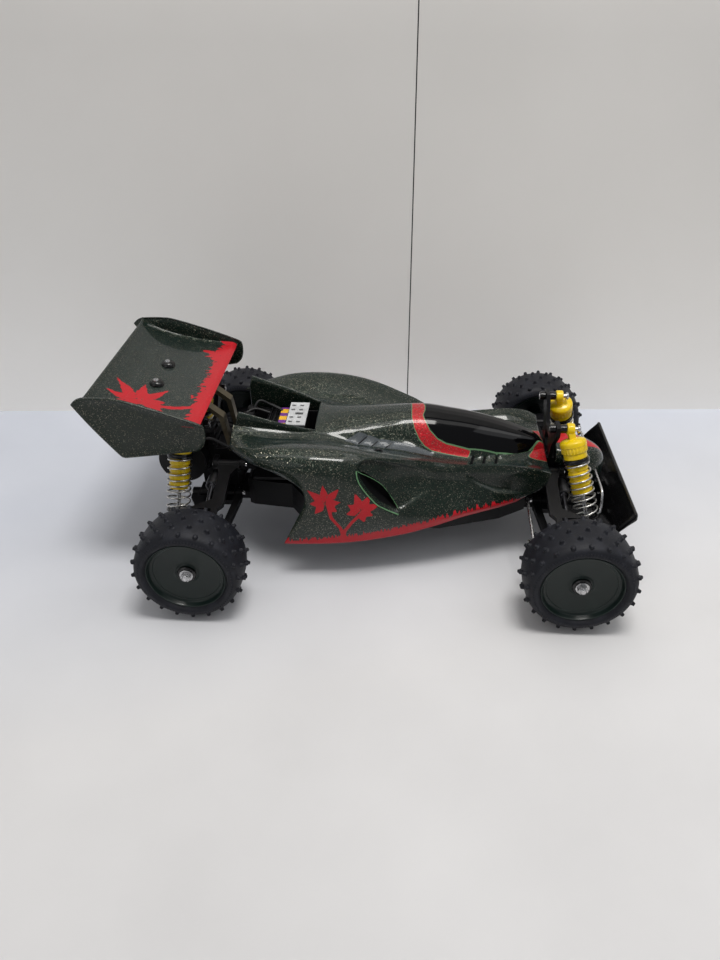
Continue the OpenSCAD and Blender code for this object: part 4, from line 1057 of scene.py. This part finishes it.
def build_wheels():
    low, high = box_mm("tyre_front_left")
    radius = (high[0] - low[0]) / 2
    width = high[1] - low[1]
    crown = radius - 2.5
    tyre_mesh = tyre_shape(crown, width)
    rim = rim_shape()
    hardware = axle_shape()
    boss = revolve([(2.6, 10.4), (6.2, 10.4), (6.2, 12.6), (5.7, 13.1), (2.6, 13.1)], 48)
    for corner, (end, side) in CORNERS.items():
        low, high = box_mm(f"tyre_{corner}")
        centre = ((low + high) / 2) * MM
        body = f"wheel_{corner}"
        tyre = bpy.data.objects.new(f"spiked_tyre_{corner}", tyre_mesh)
        bpy.context.scene.collection.objects.link(tyre)
        tyre.matrix_world = Matrix.Translation(centre) @ Matrix.Rotation(0 if side > 0 else math.pi, 4, "Z")
        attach(tyre, body)
        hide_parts(f"tyre_{corner}")
        place = centre / MM
        first = None
        for name, part, material, slot_name in (("rim", rim, MAT["rim"], "rim_plastic"),
                                                ("hub_boss", boss, MAT["gloss_black"], "rim_plastic"),
                                                ("axle_and_nut", hardware, MAT["steel"], "steel")):
            points, faces = part if side > 0 else mirrored(part)
            points = [np.asarray(p) + place for p in points]
            piece = solid(f"{name}_{corner}", points, faces, material, body, slot_name, 35)
            first = first or piece
        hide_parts(f"wheel_{corner}")


# Rows of spikes: place across the tyre, lean in degrees, root below the crown, stagger, height
SPIKE_ROWS = [(0, 0, 0.3, 0, 2.8), (7.6, 6, 0.5, 0.5, 2.8), (-7.6, -6, 0.5, 0.5, 2.8),
              (13.8, 30, 2.2, 0, 2.6), (-13.8, -30, 2.2, 0, 2.6)]
SPIKES_ROUND = 20
BEAD_RIBS = 96


def tyre_shape(crown, width):
    """A crowned tyre with staggered rings of round spikes; its centre is the origin and it turns about y."""
    profile = catmull([(26.7, -0.44 * width), (28.6, -0.497 * width), (crown * 0.86, -0.488 * width),
                       (crown * 0.93, -0.44 * width), (crown * 0.975, -0.34 * width), (crown, -0.18 * width),
                       (crown * 1.004, 0), (crown, 0.18 * width), (crown * 0.975, 0.34 * width),
                       (crown * 0.93, 0.44 * width), (crown * 0.86, 0.488 * width),
                       (28.6, 0.497 * width), (26.7, 0.44 * width)], 5)
    inner = [(25.4, 0.40 * width), (25.2, 0), (25.4, -0.40 * width)]
    parts = [revolve(list(profile) + inner, 128)]
    for y, lean, sunk, shift, tall in SPIKE_ROWS:
        root = crown - sunk
        stud = turned([(0.01, -1.0), (2.7, -1.0), (2.5, 0.15), (1.75, 0.55), (1.4, 1.1), (1.2, tall - 0.5),
                       (1.0, tall - 0.12), (0.7, tall), (0.01, tall)], 14)
        for k in range(SPIKES_ROUND):
            a = 2 * math.pi * (k + shift) / SPIKES_ROUND
            t = math.radians(lean)
            axis = np.array([math.cos(a) * math.cos(t), math.sin(t), math.sin(a) * math.cos(t)])
            origin = np.array([root * math.cos(a), y, root * math.sin(a)])
            parts.append(placed(stud, origin, frame_from(axis, (-math.sin(a), 0, math.cos(a)))))
    # Raised fine ribs near the bead on both walls
    for sign in (-1, 1):
        for k in range(BEAD_RIBS):
            a = 2 * math.pi * k / BEAD_RIBS
            rib = block((-1.3, -0.22, -0.25), (1.3, 0.22, 0.25), 0.1)
            radial = np.array([math.cos(a), 0, math.sin(a)])
            columns = np.stack([radial, np.array([0, sign, 0]), np.cross(radial, (0, sign, 0))], axis=1)
            parts.append(placed(rib, radial * 30.2 + np.array([0, sign * 0.492 * width, 0]), columns))
    mesh = mesh_from("spiked_tyre", *join_parts(parts))
    point_outwards(mesh)
    mesh.materials.append(MAT["rubber"])
    smooth(mesh, 50)
    return mesh


def rim_shape():
    """The dished rim on the left side: the closed face looks outwards, +y."""
    face = [(26.45, -15.4), (26.5, 15.2), (26.2, 15.6), (25.7, 15.6), (25.3, 15.0), (24.9, 13.2),
            (24.4, 12.4), (23.4, 11.9), (22.7, 11.75), (22.4, 11.3), (21.9, 11.15), (10, 10.75), (8.2, 10.6),
            (7.6, 10.9), (7.1, 11.4), (5.4, 11.5), (5.1, 11.9), (2.7, 11.95), (2.7, -6), (6, -6), (6, 8.9),
            (22.8, 9.6), (24.7, 9.0), (24.9, -15.0), (25.3, -15.5)]
    return revolve(face, 128)


def axle_shape():
    """Stub axle with its inner cup, washer, nut and threaded end, on the axle's line along y."""
    outer = 17.4
    axle = revolve([(0.01, -19.2), (2.45, -19.2), (2.45, 12), (2.0, 12.5), (2.0, outer - 0.5), (1.6, outer),
                    (0.01, outer)], 32)
    cup = revolve([(3.6, -26.3), (4.7, -26.3), (5, -26), (5, -17.8), (4.6, -17.4), (2.4, -17.4),
                   (2.4, -20.6), (3.6, -21)], 32)
    washer = revolve([(2.3, 13.15), (4.3, 13.15), (4.45, 13.3), (4.45, 13.7), (4.3, 13.85), (2.3, 13.85)], 40)
    points, faces = revolve([(2.1, 13.9), (3.2, 13.9), (3.5, 14.15), (3.5, 16.0), (3.2, 16.3),
                             (2.1, 16.3)], 6)
    rings = [revolve([(2.0, y), (2.2, y + 0.15), (2.0, y + 0.3)], 24) for y in np.arange(16.3, 17.2, 0.4)]
    return join_parts([axle, cup, washer, (points, faces)] + rings)


# ---------------------------------------------------------------- shock absorbers

SHOCKS = {"front": ((126.7, 24, 100.5), (145.5, 50, 33)), "rear": ((-145, 27, 100), (-150.5, 54, 33))}


def build_shocks():
    for corner, (end, side) in CORNERS.items():
        top, eye = (np.array(p, float) * (1, side, 1) for p in SHOCKS["front" if end > 0 else "rear"])
        reach = np.linalg.norm(eye - top)
        down = (eye - top) / reach
        columns = frame_from(down)
        cap_r = 9.1

        def at(part, origin=top):
            return placed(part, origin, columns)

        loop = revolve([(1.7, -2.5), (3.7, -2.5), (4.1, -2.0), (4.1, 2.0), (3.7, 2.5), (1.7, 2.5)], 32)
        loop = ([top + np.array([y, x, z]) for x, y, z in loop[0]], loop[1])
        neck = at(block((-2.4, -3.0, 2.6), (2.4, 3.0, 8.6), 0.8))
        cap = at(turned([(0.01, 6.6), (3.4, 6.7), (6.6, 7.3), (8.4, 8.2), (cap_r - 0.1, 9.2), (cap_r, 10.0),
                         (cap_r, 11.8), (8.6, 12.3), (8.6, 16.4), (8.3, 16.9), (8.0, 17.1), (8.0, 20.5),
                         (7.6, 20.7), (0.01, 20.7)], 72))
        teeth = []
        for k in range(24):
            a = 2 * math.pi * k / 24
            tooth = block((-0.4, -0.5, -2.0), (0.35, 0.5, 2.0), 0.25)
            turn = np.stack([[math.cos(a), math.sin(a), 0], [-math.sin(a), math.cos(a), 0], [0, 0, 1]], 1)
            local = placed(tooth, (8.55 * math.cos(a), 8.55 * math.sin(a), 14.3), turn)
            teeth.append(at(local))
        ribs = [(0.01, 23.9), (6.5, 23.9)]
        for k in range(4):
            z = 25.2 + 5.5 * k
            ribs += [(6.3, z - 0.5), (7.0, z), (7.15, z + 0.6), (7.15, z + 3.0), (7.0, z + 3.6),
                     (6.3, z + 4.1)]
        ribs += [(6.5, 46.6), (5.4, 47.0), (1.7, 47.0), (1.7, 45), (0.01, 45)]
        barrel = at(turned(ribs, 64))
        body = f"shock_{corner}"
        yellow = solid(f"shock_body_{corner}", *join_parts([loop, neck, cap, barrel] + teeth), MAT["yellow"],
                       body, "yellow_plastic", 35)
        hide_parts(f"shock_{corner}")
        collar = at(turned([(6.4, 20.9), (8.9, 20.9), (9.1, 21.3), (9.1, 22.6), (8.7, 23.0), (8.9, 23.4),
                            (8.7, 24.0), (6.4, 24.0)], 64))
        solid(f"spring_collar_{corner}", *collar, MAT["gloss_black"], body, "black_nylon", 35)
        build_spring(corner, top, columns, reach)
        build_rod(corner, top, eye, columns, reach)


def build_spring(corner, top, columns, reach):
    turns, wire, radius = 8.0, 0.65, 8.1
    start, stop = 24.9, reach - 10.9
    steps = 320
    path = []
    for k in range(steps + 1):
        s = k / steps
        a = 2 * math.pi * turns * s
        ease = s + 0.018 * math.sin(2 * math.pi * s)
        close = min(1, 8 * s, 8 * (1 - s))
        z = start + (stop - start) * (ease * close + (0 if s < 0.5 else 1) * (1 - close))
        path.append(top + columns @ np.array([radius * math.cos(a), radius * math.sin(a), z]))
    points, faces = tube(np.array(path), wire, 10)
    spring = solid(f"coil_spring_{corner}", points, faces, MAT["spring"], f"shock_{corner}", "steel", 60)
    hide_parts(f"spring_{corner}")
    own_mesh(spring)


def build_rod(corner, top, eye, columns, reach):
    rod = placed(turned([(0.01, 33), (1.5, 33), (1.5, reach - 3.6), (0.01, reach - 3.6)], 24), top, columns)
    piston = placed(turned([(0.01, 33), (4.6, 33), (4.6, 35), (0.01, 35)], 32), top, columns)
    eye_ring = revolve([(1.75, -2.4), (3.5, -2.4), (3.9, -2.0), (3.9, 2.0), (3.5, 2.4), (1.75, 2.4)], 32)
    eye_ring = ([eye + np.array([y, x, z]) for x, y, z in eye_ring[0]], eye_ring[1])
    steel = solid(f"shock_shaft_{corner}", *join_parts([rod, piston]), MAT["steel"], f"shock_rod_{corner}",
                  "steel", 35)
    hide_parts(f"shock_rod_{corner}")
    seat = placed(turned([(1.6, reach - 10), (7.6, reach - 10.4), (8.2, reach - 10.0), (8.2, reach - 9.2),
                          (7.4, reach - 8.8), (3.6, reach - 8.2), (3.0, reach - 3.4),
                          (1.6, reach - 3.4)], 48),
                  top, columns)
    solid(f"spring_seat_{corner}", *join_parts([seat, eye_ring]), MAT["gloss_black"], f"shock_rod_{corner}",
          "black_nylon", 35)


# ---------------------------------------------------------------- bumper

def corner_drop(u):
    """How far the bumper's upper corners are rounded down, for u from -1 to 1 across it."""
    return 3.6 * max(0.0, (abs(u) - 0.86) / 0.14) ** 2


def build_bumper():
    rows, cols = 26, 81
    points = []
    for i in range(rows):
        t = i / (rows - 1)
        half = 62.6 - 20 * max(0.0, 1 - t * 1.9) ** 3
        for j in range(cols):
            u = -1 + 2 * j / (cols - 1)
            y = half * math.sin(math.pi / 2 * u)
            x = 156.8 + 14.6 * t ** 0.7 - 4.5 * math.sin(math.pi * t) - 4 * abs(u) ** 3 * (1 - t)
            points.append((x, y, 24.4 + 31.9 * t - corner_drop(u) * t))
    mesh = mesh_from("bumper_plate", points, grid_faces(rows, cols, flip=True))
    obj = make_object("bumper_plate", mesh, MAT["gloss_black"], 50)
    add_wall(obj, 2.0, 0)
    rim = obj.modifiers.new("round", "BEVEL")
    rim.width = 0.6 * MM
    rim.segments = 2
    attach(obj, "chassis")
    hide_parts("front_bumper")
    ribs = []
    for y in (-22, 0, 22):
        ribs.append(block((154.0, y - 0.9, 25), (157.6, y + 0.9, 46), 0.4))
    for y in (9, -9):
        ribs.append(block((146, y - 1.5, 25), (158, y + 1.5, 36), 0.5))
    ribs.append(block((140, -16, 24), (157.5, 16, 26.5), 0.5))
    edge_path = [(170.8, 62.4 * math.sin(math.pi / 2 * u), 56.2 - corner_drop(u))
                 for u in np.linspace(-0.99, 0.99, 60)]
    ribs.append(tube(edge_path, 1.25, 10))
    solid("bumper_ribs", *join_parts(ribs), MAT["gloss_black"], "chassis", "black_nylon", 35)


# ---------------------------------------------------------------- details in the deck opening

def build_electrics():
    plate_low, plate_high = (-73, -15.5, 93.2), (-59, 17.5, 94.4)
    holes = [(-70.2, y) for y in (-11, -4.6, 6.6, 13)] + [(-64.4, y) for y in (-11, -4.6, 6.6, 13)]
    work = bmesh.new()
    bmesh.ops.create_cube(work, size=1)
    size = np.subtract(plate_high, plate_low)
    middle = np.add(plate_high, plate_low) / 2
    for v in work.verts:
        v.co = Vector((middle + np.array(v.co) * size) * MM)
    mesh = bpy.data.meshes.new("heat_plate")
    work.to_mesh(mesh)
    work.free()
    plate = make_object("heat_plate", mesh, MAT["plate"], 30)
    cutter_parts = [block((x - 1.5, y - 1.1, 90), (x + 1.5, y + 1.1, 97), 0.5) for x, y in holes]
    cutter_parts.append(block((-68, -0.5, 90), (-62, 2.5, 97), 0.5))
    cutter = bpy.data.objects.new("cutter", mesh_from("cutter", *join_parts(cutter_parts)))
    bpy.context.scene.collection.objects.link(cutter)
    cut = plate.modifiers.new("holes", "BOOLEAN")
    cut.object = cutter
    cut.operation = "DIFFERENCE"
    bpy.context.view_layer.update()
    done = bpy.data.meshes.new_from_object(plate.evaluated_get(bpy.context.evaluated_depsgraph_get()))
    plate.modifiers.clear()
    plate.data = done
    bpy.data.objects.remove(cutter)
    bevel = plate.modifiers.new("round", "BEVEL")
    bevel.width = 0.25 * MM
    bevel.segments = 2
    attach(plate, "chassis")
    case = [block((-90, -17, 58.2), (-60, 17, 88.6), 1.2)]
    for k in range(7):
        case.append(block((-88 + 3.6 * k, -15, 88), (-86.6 + 3.6 * k, 15, 91.4), 0.3))
    case.append(block((-45, -19, 58.2), (-3, 15, 74.2), 1.2))
    case += [block((44, -33.9, 28.6), (64, -22.9, 54.5), 1.0),
             block((69.4, -29, 46.5), (71.4, -11, 51.5), 0.5)]
    shaft = turned([(0.01, 63.9), (2.5, 63.9), (2.5, 69.6), (0.01, 69.6)], 24)
    case.append(([(z, y - 26, x + 49) for x, y, z in shaft[0]], shaft[1]))
    obj = solid("radio_cases", *join_parts(case), MAT["black"], "chassis", "black_nylon", 35)
    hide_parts("radio_gear")
    liner = [block((-104, y - 0.6, 58.2), (-46, y + 0.6, 86.5), 0.3) for y in (19.6, -19.6)]
    liner.append(block((-51.2, -19.6, 58.2), (-50.0, 19.6, 88.5), 0.3))
    solid("deck_liner", *join_parts(liner), MAT["black"], "chassis", "black_nylon", 35)
    grommet = turned([(0.01, -1.2), (3.0, -1.2), (3.0, 0.2), (2.6, 0.5), (2.0, 0.2), (1.9, -0.6),
                      (0.01, -0.6)], 32)
    up = frame_from((0.05, -0.1, 1.0))
    solid("antenna_grommet", *placed(grommet, (-5, -41.3, deck_height(-5, 41.3)), up), MAT["black"],
          "chassis", "black_nylon", 35)
    label = block((-79.5, -13, 91.6), (-74, 13, 92.3), 0.15)
    solid("case_label", *label, MAT["label"], "chassis", "black_nylon", 35)
    build_cables()


def build_cables():
    rng = random.Random(7)
    runs = [
        ([(-92, 4, 74), (-99, 8, 86), (-97, 14, 97), (-88, 15, 95), (-80, 12, 92)], 0.9, "cable"),
        ([(-92, -2, 74), (-100, 1, 88), (-95, 8, 100), (-86, 11, 96), (-79, 9, 92)], 0.9, "cable"),
        ([(-92, -8, 72), (-104, -8, 84), (-108, -4, 92), (-99, 4, 96), (-88, 4, 93)], 1.1, "cable"),
        ([(-92, 10, 70), (-106, 14, 80), (-110, 6, 90), (-104, -4, 93), (-92, -6, 91)], 1.1, "cable"),
        ([(-92, 0, 68), (-112, 8, 74), (-128, 4, 84), (-140, -10, 86), (-146, -28, 74)], 1.2, "cable"),
        ([(-92, -12, 68), (-112, -16, 74), (-128, -20, 84), (-140, -28, 82), (-146, -31, 66)], 1.2, "cable"),
    ]
    for index, (path, radius, material) in enumerate(runs):
        wobble = [tuple(np.array(p) + [rng.uniform(-1, 1) for _ in range(3)]) for p in path]
        points, faces = tube(catmull(wobble, 14), radius, 10)
        solid(f"cable_{index}", points, faces, MAT[material], "chassis", "black_nylon", 60)
    plugs = [block((-106, -6, 91), (-98, 0, 95.6), 0.8), block((-104, 4, 92), (-97, 9, 96), 0.8)]
    solid("cable_plugs", *join_parts(plugs), MAT["black"], "chassis", "black_nylon", 35)


# ---------------------------------------------------------------- posts, pins and the anti-roll bar

# Columns that lay a part turned about z along x
ALONG_X = np.array([[0, 0, 1], [1, 0, 0], [0, 1, 0]], float)


def build_posts():
    steel, sleeves = [], []
    for side in (1, -1):
        for (x, y, z), back, reach in ((SHOCKS["front"][0], 112.3, 132.0), (SHOCKS["rear"][0], -124.4, -150)):
            start, stop = min(back, reach), max(back, reach)
            rod = turned([(0.01, 0), (1.6, 0), (1.6, stop - start), (0.01, stop - start)], 20)
            steel.append(placed(rod, (start, y * side, z), ALONG_X))
            facing = 1 if reach > 0 else -1
            cap = screw_head(2.8, 1.8)
            columns = ALONG_X if facing > 0 else ALONG_X * np.array([1, -1, -1])
            steel.append(placed(cap, (reach - facing * 0.4, y * side, z), columns))
            for a, b in (((112.4, 116.5), (119.5, 124.1)) if x > 0 else ((-128.5, -124.5), (-142.3, -131.6))):
                ring = turned([(1.65, 0), (2.7, 0), (3.0, 0.4), (3.0, abs(b - a) - 0.4), (2.7, abs(b - a)),
                               (1.65, abs(b - a))], 28)
                sleeves.append(placed(ring, (min(a, b), y * side, z), ALONG_X))
    solid("shock_post_sleeves", *join_parts(sleeves), MAT["gloss_black"], "chassis", "black_nylon", 35)
    bar = catmull([(150.6, -48.5, 47.5), (151.5, -46, 52), (151.6, -42.5, 58.8), (151.5, -38.5, 61),
                   (151.5, -30, 61.2), (151.5, 0, 61.2), (151.5, 30, 61.2), (151.5, 38.5, 61),
                   (151.6, 42.5, 58.8), (151.5, 46, 52), (150.6, 48.5, 47.5)], 10)
    steel.append(tube(bar, 1.0, 12))
    for end in (1, -1):
        for side in (1, -1):
            for z, a, b in ((36, 107, 148.5), (62, 103, 129)):
                pin = turned([(0.01, 0), (1.3, 0), (1.5, 0.3), (1.5, b - a - 0.3), (1.3, b - a),
                              (0.01, b - a)], 20)
                steel.append(placed(pin, (a if end > 0 else -b, 20 * side, z), ALONG_X))
    obj = solid("pins_posts_and_bar", *join_parts(steel), MAT["steel"], "chassis", "steel", 40)
    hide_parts("pins_and_screws")


# ---------------------------------------------------------------- CAD nodes that stay

def dress_cad():
    """Gives every CAD node its material, and softly rounded edges to the tub, gearboxes, towers, arms, hub
    carriers and knuckles.
    """
    choice = {
        "wing_stays": "stay", "battery_pack": "wrap", "motor": "black", "prop_shaft": "steel",
        "differential_front": "gear", "differential_rear": "gear", "motor_pinion": "brass",
        "tie_rod_left": "steel", "tie_rod_right": "steel",
    }
    for name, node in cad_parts.items():
        key = choice.get(name, "black")
        if name.startswith("drive_shaft"):
            key = "dark_steel"
        node.data.materials.clear()
        node.data.materials.append(MAT[key])
        if name in ("chassis_tub", "gearbox_front", "gearbox_rear", "tower_front", "tower_rear") \
                or name.startswith(("lower_arm", "upper_arm", "hub_carrier", "knuckle")):
            bevel = node.modifiers.new("round", "BEVEL")
            bevel.width = 0.5 * MM
            bevel.segments = 2
            bevel.limit_method = "ANGLE"
            bevel.angle_limit = math.radians(40)
            bevel.harden_normals = False


# ---------------------------------------------------------------- stage

# In metres: the wall's two ends in x and y, its height, and the seam between two of its panels
WALL_LINE = ((-3, 0.039), (3, 0.315))
WALL_TOP = 2.5
SEAM = (0.0148, 0.0158)
SEAM_Y = 0.1769
FLOOR_DEPTH = 2


def build_stage():
    (left, left_y), (right, right_y) = WALL_LINE
    seam_left, seam_right = SEAM
    for name, corners, material in (
            ("floor", [(left, -FLOOR_DEPTH, 0), (right, -FLOOR_DEPTH, 0), (right, FLOOR_DEPTH, 0),
                       (left, FLOOR_DEPTH, 0)], floor_cloth()),
            ("wall", [(left, left_y, 0), (right, right_y, 0), (right, right_y, WALL_TOP),
                      (left, left_y, WALL_TOP)], wall_paint()),
            ("wall_seam", [(seam_left, SEAM_Y, 0), (seam_right, SEAM_Y, 0), (seam_right, SEAM_Y, WALL_TOP),
                           (seam_left, SEAM_Y, WALL_TOP)], seam_paint())):
        mesh = bpy.data.meshes.new(name)
        mesh.from_pydata(corners, [], [(0, 1, 2, 3)])
        mesh.materials.append(material)
        obj = bpy.data.objects.new(name, mesh)
        bpy.context.scene.collection.objects.link(obj)
    area_light("key", (0.15, -0.25, 1.35), (0, 0, 0.05), (0.5, 0.3), 10.2, (1.0, 0.98, 0.95))
    area_light("fill", (-0.9, -1.2, 0.9), (0, 0.178, 0.25), (1.2, 1.0), 2.4, (1.0, 0.98, 0.955))
    area_light("rear", (0.9, -0.2, 1.0), (0, 0.1, 0.05), (0.7, 0.7), 1.8, (0.97, 0.98, 1.0))
    area_light("wall_wash", (0, -0.05, 0.62), (0, 0.178, 0.12), (1.3, 0.15), 1.0, (1.0, 0.985, 0.96))
    world = bpy.data.worlds.new("studio")
    world.use_nodes = True
    background = world.node_tree.nodes["Background"]
    background.inputs[0].default_value = (0.95, 0.97, 1.0, 1)
    background.inputs[1].default_value = 0.28
    bpy.context.scene.world = world
    bpy.context.scene.view_settings.view_transform = "Standard"


dress_cad()
body_piece = build_body()
body_paint = body_piece.data.materials[0]
build_fins(body_paint)
build_pinstripes()
build_nose(body_paint)
build_wing(flake_paint("wing_paint", [("red", PAINT_RED, 0.15, 0.32, 0.35, 0.5),
                                      ("fringe", PAINT_RED, 0.15, 0.32, 0.35, 3.2)],
                       jag_stretch=(0.5, 0.8, 0.5), jag_scale=520))
build_wheels()
build_shocks()
build_bumper()
build_electrics()
build_posts()
add_camera()
build_stage()
